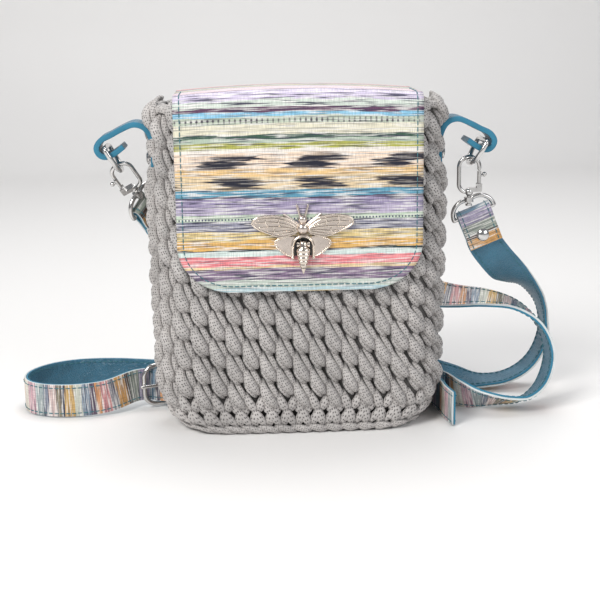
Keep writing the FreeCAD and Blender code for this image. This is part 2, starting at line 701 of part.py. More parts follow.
def hook_shape():
    """The cast hook: an open eye, a neck, and two ears for the gate."""
    bow_middle = EYE_TOP - HOOK_HALF
    path = [("arc", V(0, bow_middle, 0), HOOK_HALF, 0.0, radians(180))]
    edges = [Part.LineSegment(V(HOOK_HALF, CATCH_Z, 0), V(HOOK_HALF, bow_middle, 0)).toShape()]
    edges += offset_edges(path, 0.0)
    low = PIVOT[1] + 1.0
    edges.append(Part.LineSegment(V(-HOOK_HALF, bow_middle, 0), V(-HOOK_HALF, low, 0)).toShape())
    edges.append(Part.Arc(V(-HOOK_HALF, low, 0), V(-HOOK_HALF + 1.6, low - 3.6, 0),
                          V(0, NECK_Z + 1.5, 0)).toShape())
    for edge in edges:
        edge.rotate(V(0, 0, 0), V(1, 0, 0), 90)
    eye = rod(edges, HOOK_WIRE)
    neck = Part.makeCone(NECK_RADIUS, STEM_RADIUS + 0.05, 1.6, V(0, 0, NECK_Z + 1.6), V(0, 0, -1))
    neck = neck.fuse(Part.makeSphere(NECK_RADIUS, V(0, 0, NECK_Z + 1.6)))
    stem_pin = Part.makeCylinder(STEM_RADIUS, STEM_LONG, V(0, 0, NECK_Z), V(0, 0, -1))
    head = Part.makeCylinder(STEM_HEAD, 1.3, V(0, 0, NECK_Z - STEM_LONG), V(0, 0, -1))
    arm = Part.makeBox(PIVOT[0] + 1.2, 4.6, 2.4, V(0, -2.3, PIVOT[1] - 3.6))
    ears = []
    for ear_side in (-1, 1):
        ear_y = ear_side * EAR_OUT - EAR_THICK / 2
        ear = Part.makeBox(3.0, EAR_THICK, 4.4, V(PIVOT[0] - 1.5, ear_y, PIVOT[1] - 3.0))
        round_top = Part.makeCylinder(1.5, EAR_THICK, V(PIVOT[0], ear_y, PIVOT[1]), V(0, 1, 0))
        ears.append(ear.fuse(round_top))
    shape = eye.fuse([neck, stem_pin, head, arm] + ears)
    pin_hole = Part.makeCylinder(GATE_PIN + SLACK, 8, V(PIVOT[0], -4, PIVOT[1]), V(0, 1, 0))
    gate_room = Part.makeCylinder(1.9, 2.8, V(PIVOT[0], -1.4, PIVOT[1]), V(0, 1, 0))
    gate_room = gate_room.fuse(Part.makeBox(8, 2.8, 3.0, V(PIVOT[0] - 6.0, -1.4, PIVOT[1] - 1.0)))
    shape = shape.cut(pin_hole.fuse(gate_room))
    return shape.removeSplitter()


def gate_shape():
    """The sprung gate, closed up against the catch, with its thumb stud."""
    top = CATCH_Z - HOOK_WIRE - 0.2
    bar = Part.makeCylinder(1.2, top - PIVOT[1], V(PIVOT[0], 0, PIVOT[1]), V(0, 0, 1))
    knuckle = Part.makeCylinder(1.6, 2.6, V(PIVOT[0], -1.3, PIVOT[1]), V(0, 1, 0))
    stud = Part.makeCylinder(0.9, 2.6, V(PIVOT[0] + 0.4, 0, top - 3.0), V(1, 0, 0.35))
    knob = Part.makeSphere(1.5, V(PIVOT[0] + 3.1, 0, top - 2.1))
    hole = Part.makeCylinder(GATE_PIN + SLACK, 8, V(PIVOT[0], -4, PIVOT[1]), V(0, 1, 0))
    return bar.fuse([knuckle, stud, knob]).cut(hole).removeSplitter()


# The swivel loop: its own X runs along its straight bar, its origin is the bar's middle and
# Z points up to the boss that the hook's stem turns in.
LOOP_HALF = 13.0
LOOP_RISE = 9.0
LOOP_WIRE = 1.4
LOOP_LEAN = {1: 22.0, -1: 0.0}             # the loop hangs askew on its boss, degrees
LOOP_BACK = {1: (0.0, 1.0, 0.0), -1: (0.75, -0.66, 0.0)}   # the side the strap's print faces


def loop_shape(lean):
    """The bail that a strap end folds round, with the boss for the hook's stem."""
    (half, rise) = (LOOP_HALF, LOOP_RISE)
    bow = [Part.LineSegment(V(-half, 0, 0), V(half, 0, 0)).toShape(),
           Part.Arc(V(half, 0, 0), V(half * 0.88, 0, rise * 0.62), V(2.0, 0, rise)).toShape(),
           Part.Arc(V(-2.0, 0, rise), V(-half * 0.88, 0, rise * 0.62), V(-half, 0, 0)).toShape()]
    bow = rod(bow, LOOP_WIRE)
    boss = Part.makeCylinder(3.0, 3.0, V(0, 0, rise - 1.5), V(0, 0, 1))
    boss.rotate(V(0, 0, rise), V(0, 1, 0), lean)
    bore = Part.makeCylinder(STEM_RADIUS + SLACK, 9, V(0, 0, rise - 4.5), V(0, 0, 1))
    bore.rotate(V(0, 0, rise), V(0, 1, 0), lean)
    head_room = Part.makeCylinder(STEM_HEAD + 0.3, 3.1, V(0, 0, rise - 4.6), V(0, 0, 1))
    head_room.rotate(V(0, 0, rise), V(0, 1, 0), lean)
    return bow.fuse([boss]).cut(bore.fuse(head_room)).removeSplitter()


loop_places = {}
for side in (1, -1):
    name = side_name(side)
    hung = hook_place(side)
    solid_part("hook_body_" + name, hook_shape(), hung)
    solid_part("hook_gate_" + name, gate_shape(), hung)
    pin_half = EAR_OUT + EAR_THICK / 2
    pin = Part.makeCylinder(GATE_PIN, 2 * pin_half, V(PIVOT[0], -pin_half, PIVOT[1]), V(0, 1, 0))
    solid_part("gate_pin_" + name, pin, hung)
    seat = hung.multVec(V(0, 0, NECK_Z - 3.0))
    up = hung.Rotation.multVec(V(0, 0, 1))
    bar = unit(V(*LOOP_BACK[side]).cross(up))
    facing = up.cross(bar)
    lean = FreeCAD.Rotation(facing, -LOOP_LEAN[side])
    (bar, up) = (lean.multVec(bar), lean.multVec(up))
    rotation = FreeCAD.Rotation(bar, facing, up, "XYZ")
    loop_places[side] = FreeCAD.Placement(seat - up * LOOP_RISE, rotation)
    solid_part("swivel_loop_" + name, loop_shape(LOOP_LEAN[side]), loop_places[side])

# ---------------------------------------------------------------- buckle
# Its own X runs along the heel bar, Y faces out and the frame's bow points to -Z.
BUCKLE_AT = (-83.0, 31.0, 15.0)
BUCKLE_OUT = (0.34, -0.94, 0.0)
BUCKLE_HALF = 12.7
BUCKLE_LONG = 16.7
BUCKLE_ROUND = 7.5             # corners at the bow end
buckle_place = frame_placement(BUCKLE_AT, (0, 0, 1), BUCKLE_OUT)
bow_z = -BUCKLE_LONG


def corner_arc(x, z, radius, first):
    """A quarter circle about (x, z), running clockwise from an angle in degrees."""
    points = [V(x + radius * cos(radians(first - t)), z + radius * sin(radians(first - t)), 0)
              for t in (0, 45, 90)]
    return Part.Arc(*points)


def frame_path(half, long, heel_corner, bow_corner):
    """A rectangle with two tight and two wide corners, starting in the middle of the heel bar."""
    (side_top, side_low, inset) = (-heel_corner, -long + bow_corner, half - bow_corner)
    heel = half - heel_corner
    runs = [((0, 0), (heel, 0)), ((half, side_top), (half, side_low)), ((inset, -long), (-inset, -long)),
            ((-half, side_low), (-half, side_top)), ((-heel, 0), (0, 0))]
    lines = [Part.LineSegment(V(*a, 0), V(*b, 0)) for (a, b) in runs]
    arcs = [corner_arc(heel, -heel_corner, heel_corner, 90), corner_arc(inset, side_low, bow_corner, 0),
            corner_arc(-inset, side_low, bow_corner, -90), corner_arc(-heel, -heel_corner, heel_corner, 180)]
    return [lines[0], arcs[0], lines[1], arcs[1], lines[2], arcs[2], lines[3], arcs[3], lines[4]]


bent_wire("buckle_frame", frame_path(BUCKLE_HALF, BUCKLE_LONG, 2.2, BUCKLE_ROUND), "ring_wire", buckle_place)
(shank_root, shank_tip) = (V(0, 2.1, -1.2), V(0, 2.85, bow_z - 2.2))
SHANK = 1.1
PRONG_EYE = 2.9
PRONG_WIDE = 3.2
shank = Part.makeCone(SHANK + 0.2, SHANK, (shank_tip - shank_root).Length, shank_root,
                      shank_tip - shank_root)
eye = Part.makeCylinder(PRONG_EYE, PRONG_WIDE, V(-PRONG_WIDE / 2, 0, 0), V(1, 0, 0))
eye_bore = Part.makeCylinder(size("ring_wire") + SLACK, 8, V(-4, 0, 0), V(1, 0, 0))
prong = eye.fuse([shank, Part.makeSphere(SHANK, shank_tip)]).cut(eye_bore).removeSplitter()
solid_part("buckle_prong", prong, buckle_place)

# ---------------------------------------------------------------- strap
# Two strap parts, each a printed layer outside and a leather layer inside. A station is the
# middle of the strap between the layers, and the way the print faces there.
width = size("strap_width")
print_thick = size("print_thick")
leather = size("leather_thick")
LAYERS = (("print", SLACK / 2, print_thick), ("leather", -leather, -SLACK / 2))
FOLD_END = 21.0
FOLD_GAP = leather + 0.05


def ribbon(stations, near, far):
    """A ruled strip through the stations, between two distances along the print's normal."""
    middles = [V(*s[:3]) for s in stations]
    wires = []
    for i, (middle, station) in enumerate(zip(middles, stations)):
        along = unit(middles[min(i + 1, len(middles) - 1)] - middles[max(i - 1, 0)])
        normal = V(*station[3:])
        normal = unit(normal - along * normal.dot(along))
        across = along.cross(normal) * (width / 2)
        corners = [middle - across + normal * near, middle + across + normal * near,
                   middle + across + normal * far, middle - across + normal * far]
        wires.append(Part.makePolygon(corners + [corners[0]]))
    return Part.makeLoft(wires, True, True)


def fold_path(turn_radius, main_end):
    """From the folded end's tip, round a bar at the origin, and back down the main strap."""
    turn = turn_radius + 0.05
    return rounded_path([(-FOLD_GAP, -FOLD_END), (-FOLD_GAP, -8.0), (-turn, -2.0), (-turn, turn + 0.1),
                         (turn, turn + 0.1), (turn, -2.0), (FOLD_GAP, -8.0), (FOLD_GAP, -main_end)],
                        [6.0, 6.0, turn_radius, turn_radius, 6.0, 6.0])


def fold(place, bar_radius, near, far):
    """A strap end turned round a bar: print outside, its main strap on the place's +Y side."""
    strip = band(fold_path(bar_radius + 0.1 + leather, FOLD_END + 1.0), near, far, -width / 2, width / 2)
    strip.transformShape(FreeCAD.Placement(V(), FreeCAD.Rotation(V(0, 1, 0), V(0, 0, 1), V(1, 0, 0),
                                                                "XYZ")).toMatrix())
    strip.transformShape(place.toMatrix())
    return strip


def station_at(place, y, z):
    """A station given in a fold's or buckle's own frame, its print facing +Y."""
    middle = place.multVec(V(0, y, z))
    normal = place.Rotation.multVec(V(0, 1, 0))
    return (middle.x, middle.y, middle.z, normal.x, normal.y, normal.z)


def end_stations(place):
    """The two stations that carry a fold's main strap straight on."""
    return [station_at(place, FOLD_GAP, -FOLD_END - 1.0), station_at(place, FOLD_GAP, -FOLD_END - 6.0)]


# The buckle's fold sees the heel bar from the other side: its strap leaves to +Z of the buckle.
flip = FreeCAD.Rotation(V(-1, 0, 0), V(0, 1, 0), V(0, 0, -1), "XYZ")
heel_place = FreeCAD.Placement(buckle_place.Base, buckle_place.Rotation.multiply(flip))

BUCKLE_STRAP = end_stations(heel_place) + [
    (-50, 40.0, 13.6, 0.1, -1, 0), (-45, 40.1, 12.9, 0, -1, 0), (-24, 40.1, 12.7, 0, -1, 0),
    (-5, 38.8, 11.6, 0, -1, 0), (15, 37.2, 11.0, 0, -1, 0),
    (48, 36.6, 11.0, 0, -1, 0), (66, 35.6, 11.0, -0.2, -1, 0), (81, 30.5, 11.0, -0.5, -0.85, 0),
    (94, 18, 10.9, -0.7, -0.7, 0), (104, 6, 10.3, -0.5, -0.7, -0.35),
    (115, -1, 8.6, -0.2, -0.65, -0.75), (129, -2, 7.2, 0, -0.45, -0.9),
    (143, 0, 7.6, 0.4, -0.3, -0.87), (154.5, 3, 17.5, 0.85, -0.1, -0.5),
    (159.5, 7, 35, 1, 0, 0), (154, 12, 52.5, 0.85, 0, 0.5), (140, 17.5, 64, 0.45, -0.1, 0.9),
    (122, 22.5, 68, 0.05, -0.25, 0.97), (102, 28, 68.5, 0, -0.45, 0.9),
    (82, 33.5, 70.5, 0, -0.75, 0.65), (60, 35.5, 75, 0, -0.97, 0.25),
    (25, 34.5, 84, 0, -1, 0), (-20, 34, 96, 0, -1, 0), (-48, 34.5, 103.5, 0.1, -1, 0),
] + end_stations(loop_places[-1])[::-1]
LONG_STRAP = end_stations(loop_places[1]) + [
    (127, 6, 94, 0.05, 0.95, 0.1), (140, 18, 82, 0.45, 0.8, 0.4), (154, 33, 70, 0.8, 0.35, 0.5),
    (163.5, 43, 53.5, 0.95, 0, 0.3), (165.5, 46, 35.5, 1, 0, 0), (158, 47, 18, 0.85, 0, -0.5),
    (143, 47.5, 7.4, 0.45, 0, -0.9), (124, 48.5, 4.6, 0, 0.1, -1), (104, 50, 7.6, 0, 0.55, -0.83),
    (83, 51, 10.8, 0, 0.92, -0.35), (62, 51, 11.0, 0, 1, 0), (20, 50, 11.0, 0, 1, 0),
    (-30, 50.5, 11.0, 0, 1, 0), (-70, 55, 11.0, -0.1, 1, 0), (-95, 62.5, 11.0, -0.3, 1, 0),
    (-120, 68.5, 11.0, -0.1, 1, 0), (-145, 68.5, 11.0, 0.25, 1, 0), (-164, 59.5, 11.0, -0.5, 0.85, 0),
    (-174.5, 43, 11.0, -0.95, 0.2, 0), (-173, 26, 11.0, -0.9, -0.5, 0), (-161, 15.5, 11.0, -0.4, -0.9, 0),
    (-142, 12.5, 11.0, 0, -1, 0), (-122, 15.5, 12.2, 0.15, -1, 0)] + [
    station_at(buckle_place, y, z) for (y, z) in
    ((-3.2, bow_z - 6.0), (-3.2, -12.8), (1.2, -7.6), (5.6, -2.6), (5.9, 1.4), (5.3, 7.5), (5.2, 15.0))] + [
    (-56, 35.2, 13.9, 0.2, -1, 0), (-46, 36.8, 12.9, 0, -1, 0), (-24, 36.9, 12.7, 0, -1, 0),
    (-5, 35.4, 11.6, 0, -1, 0), (15, 33.8, 11.0, 0, -1, 0),
    (48, 33.2, 11.0, 0, -1, 0), (63, 32.0, 11.0, -0.2, -1, 0),
    (76, 26.8, 11.0, -0.6, -0.8, 0), (85.5, 15, 11.0, -0.9, -0.4, 0), (89, 1, 11.0, -1, -0.1, 0),
    (90, -12, 11.0, -1, 0, 0), (92.5, -26, 11.0, -1, 0.1, 0)]

PRONG_SLOT = (3.4, 14.0, 9.6)  # the hole in the long strap that the prong goes through
HEEL_SLOT = (4.0, 9.0, 9.0)    # the slot in the fold that the prong's eye sits in
slot = Part.makeBox(*PRONG_SLOT, V(-PRONG_SLOT[0] / 2, -PRONG_SLOT[1] / 2, -12.4))
slot.transformShape(buckle_place.toMatrix())
heel_slot = Part.makeBox(*HEEL_SLOT, V(-HEEL_SLOT[0] / 2, -4.6, -6.0))
heel_slot.transformShape(buckle_place.toMatrix())
RIVET_STEM = 1.5
RIVET_DOWN = 14.5              # from a bar's middle to its strap's rivet
places = {"right": loop_places[1], "left": loop_places[-1], "buckle": heel_place}
CAP_RADIUS = 4.0
CAP_RISE = {"right": 1.8, "left": 1.8, "buckle": 0.9}


def rivet_shape(radius_gap, rise):
    """A double-cap rivet along a fold's own Y, through both plies of the strap end."""
    reach = FOLD_GAP + print_thick
    stem_pin = Part.makeCylinder(RIVET_STEM + radius_gap, 2 * reach, V(0, -reach, -RIVET_DOWN), V(0, 1, 0))
    if radius_gap:
        return stem_pin
    caps = []
    for way in (-1, 1):
        dome_radius = (CAP_RADIUS ** 2 + rise ** 2) / (2 * rise)
        dome = Part.makeSphere(dome_radius, V(0, way * (reach + rise - dome_radius), -RIVET_DOWN))
        corner = V(-6, reach if way > 0 else -reach - 6, -RIVET_DOWN - 6)
        caps.append(dome.common(Part.makeBox(12, 6, 12, corner)))
    return stem_pin.fuse(caps).removeSplitter()


rivet_holes = []
for (name, place) in places.items():
    solid_part("strap_rivet_" + name, rivet_shape(0.0, CAP_RISE[name]), place)
    hole = rivet_shape(SLACK, 0.0)
    hole.transformShape(place.toMatrix())
    rivet_holes.append(hole)
for (layer, near, far) in LAYERS:
    ends = [fold(heel_place, size("ring_wire"), near, far).cut(heel_slot),
            fold(loop_places[-1], LOOP_WIRE, near, far)]
    strip = ribbon(BUCKLE_STRAP, near, far).fuse(ends).cut(rivet_holes).removeSplitter()
    solid_part("buckle_strap_" + layer, strip)
    ends = [fold(loop_places[1], LOOP_WIRE, near, far)]
    strip = ribbon(LONG_STRAP, near, far).fuse(ends).cut(rivet_holes + [slot]).removeSplitter()
    solid_part("long_strap_" + layer, strip)

# ---------------------------------------------------------------- strap keeper
KEEPER_X = -42.0
KEEPER_LONG = 9.0
KEEPER_SKIN = 1.1
keeper_room = (KEEPER_LONG, 6.1, width + 1.2)
corner = V(KEEPER_X, 35.5, 1.6)     # the room's own corner: left, front, low
skin = V(0, KEEPER_SKIN, KEEPER_SKIN)
keeper_outer = Part.makeBox(KEEPER_LONG, keeper_room[1] + 2 * KEEPER_SKIN,
                            keeper_room[2] + 2 * KEEPER_SKIN, corner - skin)
keeper_inner = Part.makeBox(KEEPER_LONG + 2, keeper_room[1], keeper_room[2], corner - V(1, 0, 0))
solid_part("strap_keeper", keeper_outer.cut(keeper_inner))

# ---------------------------------------------------------------- write
doc.recompute()
bad = [o.Name for o in doc.Objects if "Invalid" in o.State or "Error" in o.State]
bad += [o.Label for o in parts if o.Shape.isNull() or not o.Shape.isValid()]
if bad:
    raise RuntimeError("failed: " + ", ".join(bad))
os.makedirs("parts", exist_ok=True)
for obj in parts:
    obj.Shape.exportStep("parts/" + obj.Label + ".step")
print(len(parts), "nodes")
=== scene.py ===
import random
from math import cos, pi, radians, sin, sqrt

import bmesh
import bpy
from mathutils import Matrix, Vector


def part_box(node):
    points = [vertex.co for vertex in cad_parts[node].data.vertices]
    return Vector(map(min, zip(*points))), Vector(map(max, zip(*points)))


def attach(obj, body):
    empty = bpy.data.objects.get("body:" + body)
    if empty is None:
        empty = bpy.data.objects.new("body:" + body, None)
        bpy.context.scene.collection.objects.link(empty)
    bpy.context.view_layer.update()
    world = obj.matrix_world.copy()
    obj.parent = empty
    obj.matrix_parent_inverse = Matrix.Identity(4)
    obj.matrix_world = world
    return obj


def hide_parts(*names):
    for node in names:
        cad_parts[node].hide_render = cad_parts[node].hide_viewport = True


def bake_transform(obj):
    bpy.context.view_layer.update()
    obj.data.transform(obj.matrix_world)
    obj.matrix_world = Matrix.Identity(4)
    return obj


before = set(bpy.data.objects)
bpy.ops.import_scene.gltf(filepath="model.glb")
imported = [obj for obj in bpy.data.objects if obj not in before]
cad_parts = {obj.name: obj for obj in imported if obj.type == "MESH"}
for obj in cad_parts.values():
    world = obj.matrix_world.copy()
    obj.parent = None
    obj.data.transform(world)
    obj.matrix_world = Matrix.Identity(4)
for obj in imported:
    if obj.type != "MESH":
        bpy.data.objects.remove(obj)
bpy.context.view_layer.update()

# ---- Table, light and camera -----------------------------
# The bag stands on a plain pale table in soft daylight from the upper left, seen a little
# from above.
scene = bpy.context.scene


MM = 0.001


def feed(tree, made, inputs):
    """Sets a node's inputs: a socket is linked, anything else is the input's own value."""
    for key, value in inputs.items():
        if isinstance(value, bpy.types.NodeSocket):
            tree.links.new(value, made.inputs[key])
        else:
            made.inputs[key].default_value = value


def node(tree, kind, inputs=None, **settings):
    """A new node with its properties and its inputs set."""
    made = tree.nodes.new(kind)
    for key, value in settings.items():
        setattr(made, key, value)
    feed(tree, made, inputs or {})
    return made


def shader_material(name):
    """A new node material and its nodes."""
    material = bpy.data.materials.new(name)
    material.use_nodes = True
    return material, material.node_tree


def surface(tree, inputs, raised=None):
    """Sets the Principled shader; raised is (height, strength, distance) of its bump."""
    if raised:
        (height, strength, distance) = raised
        bump = node(tree, "ShaderNodeBump", {"Height": height, "Strength": strength, "Distance": distance})
        inputs = {**inputs, "Normal": bump.outputs["Normal"]}
    feed(tree, tree.nodes["Principled BSDF"], inputs)


def on_object(tree):
    """The object's own coordinates, so that a texture moves with its piece."""
    return node(tree, "ShaderNodeTexCoord").outputs["Object"]


def new_object(name, mesh_maker, material):
    """Runs mesh_maker on an empty bmesh and links the result as a smooth object."""
    mesh = bpy.data.meshes.new(name)
    bm = bmesh.new()
    mesh_maker(bm)
    bm.to_mesh(mesh)
    bm.free()
    for face in mesh.polygons:
        face.use_smooth = True
    made = bpy.data.objects.new(name, mesh)
    scene.collection.objects.link(made)
    mesh.materials.append(material)
    return made


def outward(bm):
    """Turns every face outwards."""
    bmesh.ops.recalc_face_normals(bm, faces=bm.faces)


def table_mesh(bm):
    """A table top that curves up into a plain backdrop."""
    bmesh.ops.create_grid(bm, x_segments=1, y_segments=1, size=1)
    edge = [e for e in bm.edges if all(v.co.y > 0.5 for v in e.verts)]
    up = bmesh.ops.extrude_edge_only(bm, edges=edge)
    wall = [v for v in up["geom"] if isinstance(v, bmesh.types.BMVert)]
    bmesh.ops.translate(bm, vec=(0, 0, 2), verts=wall)
    bmesh.ops.scale(bm, vec=(3, 3, 1), verts=bm.verts)
    bmesh.ops.translate(bm, vec=(0, -1.6, -0.0003), verts=bm.verts)
    corner = [e for e in bm.edges if all(abs(v.co.z) < 0.01 and v.co.y > 0 for v in e.verts)]
    bmesh.ops.bevel(bm, geom=corner, offset=0.25, segments=16, profile=0.5, affect="EDGES", material=-1)
    outward(bm)


(table_paint, tree) = shader_material("table_paint")
surface(tree, {"Base Color": (0.83, 0.82, 0.81, 1), "Roughness": 0.55})
table = new_object("table", table_mesh, table_paint)


def area_light(name, place, aim, size, power, colour):
    """A rectangular lamp at a place, turned to its aim."""
    lamp = bpy.data.lights.new(name, "AREA")
    lamp.shape = "RECTANGLE"
    (lamp.size, lamp.size_y) = size
    lamp.energy = power
    lamp.color = colour
    made = bpy.data.objects.new(name, lamp)
    made.location = place
    made.rotation_euler = (Vector(aim) - Vector(place)).to_track_quat("-Z", "Y").to_euler()
    scene.collection.objects.link(made)


area_light("window", (-0.75, -0.85, 1.05), (0, 0, 0.08), (0.6, 0.6), 17.5, (1.0, 0.99, 0.97))
area_light("sky", (0.9, -0.9, 0.75), (0, 0, 0.1), (0.9, 0.7), 5.5, (0.97, 0.98, 1.0))
area_light("top", (0.1, 0.35, 1.3), (0, 0.25, 0), (0.8, 0.8), 10, (1.0, 1.0, 1.0))
world = bpy.data.worlds.new("room")
scene.world = world
world.use_nodes = True
feed(world.node_tree, world.node_tree.nodes["Background"],
     {"Color": (0.93, 0.95, 1.0, 1), "Strength": 0.24})

VIEW_FROM = (-3, 12)              # azimuth and elevation, degrees
VIEW_ROLL = -0.8
VIEW_FAR = 0.714
VIEW_AIM = Vector((0, 0, 0.098))
LENS_SHIFT = (1 / 300, -0.06)

camera_data = bpy.data.cameras.new("camera")
camera_data.lens = 70
camera_data.clip_start = 0.01
(camera_data.shift_x, camera_data.shift_y) = LENS_SHIFT
camera = bpy.data.objects.new("camera", camera_data)
scene.collection.objects.link(camera)
(azimuth, elevation) = (radians(VIEW_FROM[0]), radians(VIEW_FROM[1]))
back = Vector((sin(azimuth) * cos(elevation), -cos(azimuth) * cos(elevation), sin(elevation)))
turn = back.to_track_quat("Z", "Y") @ Matrix.Rotation(radians(VIEW_ROLL), 3, "Z").to_quaternion()
camera.rotation_mode = "QUATERNION"
camera.rotation_quaternion = turn
camera.location = VIEW_AIM + back * VIEW_FAR
scene.camera = camera
scene.view_settings.view_transform = "Standard"

# ---- Crocheted body --------------------------------------
# Walls, base and rim are worked in the round from one thick knitted cord. Every stitch is a
# plump leaf of three strands that twist from upper left to lower right.
HALF_X = 0.0835
HALF_Y = 0.0252
CORNER = 0.0242
AROUND = 4 * (HALF_X - CORNER) + 4 * (HALF_Y - CORNER) + 2 * pi * CORNER
FOOT = (0.022, 0.030)             # the lower corners' rounding, across and up
COLUMNS = 40
PITCH = 0.0176
FIRST_LEAF = (0.0235, 0.0323)     # height of the lowest leaf in even and odd columns
LAST_LEAF = 0.192
LEAN = 0.15
EDGE_STITCHES = 34


def node_group(name, takes, gives):
    """A node group whose sockets are (name, type) pairs, with its inputs and its end node."""
    group = bpy.data.node_groups.new(name, "ShaderNodeTree")
    for sockets, way in ((takes, "INPUT"), (gives, "OUTPUT")):
        for label, kind in sockets:
            group.interface.new_socket(label, in_out=way, socket_type=f"NodeSocket{kind}")
    return group, node(group, "NodeGroupInput").outputs, node(group, "NodeGroupOutput")


def grain_group():
    """Uneven colour for the unprinted materials: colour in, varied colour out."""
    takes = (("Colour", "Color"), ("Scale", "Float"), ("Amount", "Float"))
    (group, start, end) = node_group("fine_variation", takes, (("Colour", "Color"),))
    noise = node(group, "ShaderNodeTexNoise",
                 {"Vector": on_object(group), "Scale": start["Scale"], "Detail": 4})
    low = node(group, "ShaderNodeMath", {0: 1.0, 1: start["Amount"]}, operation="SUBTRACT")
    high = node(group, "ShaderNodeMath", {0: 1.0, 1: start["Amount"]}, operation="ADD")
    value = node(group, "ShaderNodeMapRange",
                 {"Value": noise.outputs["Fac"], "From Min": 0.3, "From Max": 0.7,
                  "To Min": low.outputs[0], "To Max": high.outputs[0]})
    shade = node(group, "ShaderNodeHueSaturation",
                 {"Value": value.outputs["Result"], "Color": start["Colour"]})
    feed(group, end, {"Colour": shade.outputs["Color"]})
    return group


fine_variation = grain_group()


def varied(tree, colour, scale, amount):
    """A colour with the shared variation on it."""
    inputs = {"Colour": (*colour, 1), "Scale": scale, "Amount": amount}
    return node(tree, "ShaderNodeGroup", inputs, node_tree=fine_variation).outputs["Colour"]


def cord_material(name, colour, dark):
    """Knitted polyester cord on the strand's own UV: tiny eyes between the knit's legs, darkened with
    painted shade for the knit's holes.
    """
    (material, tree) = shader_material(name)
    uv = node(tree, "ShaderNodeUVMap", uv_map="UVMap")
    knit = node(tree, "ShaderNodeTexVoronoi",
                {"Vector": uv.outputs["UV"], "Scale": 1.0, "Randomness": 0.45},
                feature="F1", voronoi_dimensions="2D")
    eye = node(tree, "ShaderNodeMapRange",
               {"Value": knit.outputs["Distance"], "From Min": 0.13, "From Max": 0.33})
    mix = node(tree, "ShaderNodeMix", {"Factor": eye.outputs["Result"], "A": (*dark, 1),
                                       "B": varied(tree, colour, 55, 0.16)}, data_type="RGBA")
    surface(tree, {"Base Color": mix.outputs["Result"], "Roughness": 0.72, "Sheen Weight": 0.25,
                   "Sheen Roughness": 0.5}, (eye.outputs["Result"], 0.55, 0.0006))
    return material


# The cord's second, near-black colour is painted shade inside the knit's holes.
knitted_cord = cord_material("knitted_cord", (0.47, 0.445, 0.43), (0.060, 0.055, 0.055))
(shadow_cloth, tree) = shader_material("shadow_cloth")
surface(tree, {"Base Color": varied(tree, (0.085, 0.08, 0.078), 300, 0.4), "Roughness": 0.95})


def wall_point(u, z, out):
    """A point of the bag's side: u runs round it from the middle of the front, out stands off."""
    squeeze = 0.0
    if z < FOOT[1]:
        rise = 1 - max(z, 0.0) / FOOT[1]
        squeeze = FOOT[0] * (1 - sqrt(max(0.0, 1 - rise * rise)))
    (flat_x, flat_y) = (HALF_X - CORNER, HALF_Y - CORNER)
    u = (u + AROUND / 2) % AROUND - AROUND / 2
    side = 1 if u >= 0 else -1
    run = abs(u)
    quarter = pi * CORNER / 2
    if run < flat_x:
        (x, y, normal) = (run, -HALF_Y, (0, -1))
    elif run < flat_x + quarter:
        angle = (run - flat_x) / CORNER
        normal = (sin(angle), -cos(angle))
        (x, y) = (flat_x + CORNER * normal[0], -flat_y + CORNER * normal[1])
    elif run < flat_x + quarter + 2 * flat_y:
        (x, y, normal) = (HALF_X, run - flat_x - quarter - flat_y, (1, 0))
    elif run < flat_x + 2 * quarter + 2 * flat_y:
        angle = (run - flat_x - quarter - 2 * flat_y) / CORNER
        normal = (cos(angle), sin(angle))
        (x, y) = (flat_x + CORNER * normal[0], flat_y + CORNER * normal[1])
    else:
        (x, y, normal) = (AROUND / 2 - run, HALF_Y, (0, 1))
    x = (x + normal[0] * out) * (1 - squeeze / HALF_X)
    y = (y + normal[1] * out) * (1 - 0.08 * squeeze / FOOT[0])
    return Vector((side * x, y, z))


def smooth_run(controls, count):
    """count + 1 evenly stepped points of a smooth curve through the control values."""
    run = []
    last = len(controls) - 1
    for i in range(count + 1):
        t = i / count * last
        k = min(int(t), last - 1)
        f = t - k
        (p, a, b, n) = (controls[max(k - 1, 0)], controls[k], controls[k + 1], controls[min(k + 2, last)])
        run.append(0.5 * (2 * a + (b - p) * f + (2 * p - 5 * a + 4 * b - n) * f * f
                          + (3 * a - p - 3 * b + n) * f ** 3))
    return run


def tube(bm, controls, radii, sides, rings, flat=1.0, cell=1.45, face_out=(0, 0, 1)):
    """A closed tube along a smooth curve, flattened towards face_out, with a knit-size UV."""
    path = smooth_run([Vector(c) for c in controls], rings)
    thick = smooth_run(list(radii), rings)
    have = len(bm.verts)
    made = bmesh.ops.create_cone(bm, cap_ends=True, segments=sides, radius1=1, radius2=1, depth=1)
    upright = [e for e in {e for v in made["verts"] for e in v.link_edges}
               if abs(e.verts[0].co.z - e.verts[1].co.z) > 0.5]
    bmesh.ops.subdivide_edges(bm, edges=upright, cuts=rings - 1)
    bm.verts.ensure_lookup_table()
    verts = bm.verts[have:]
    marks = bm.loops.layers.uv.get("UVMap") or bm.loops.layers.uv.new("UVMap")
    gone = [0.0]
    for a, b in zip(path, path[1:]):
        gone.append(gone[-1] + (b - a).length)
    angle = {v: (math_angle(v.co.x, v.co.y), round((v.co.z + 0.5) * rings)) for v in verts}
    girth = 2 * pi * max(thick)
    for face in {f for v in verts for f in v.link_faces}:
        first = angle[face.loops[0].vert][0]
        for corner in face.loops:
            (a, k) = angle[corner.vert]
            a += round((first - a) / (2 * pi)) * 2 * pi
            corner[marks].uv = (a / (2 * pi) * girth / cell, gone[k] / cell)
    for v in verts:
        (a, k) = angle[v]
        ahead = (path[min(k + 1, rings)] - path[max(k - 1, 0)]).normalized()
        across = ahead.cross(Vector(face_out)).normalized()
        away = across.cross(ahead)
        v.co = path[k] + (across * cos(a) + away * sin(a) * flat) * thick[k]
    return verts


def math_angle(x, y):
    """The angle of (x, y) from the x axis, counted anticlockwise."""
    return Vector((1, 0)).angle_signed(Vector((x, y)), 0.0) * -1


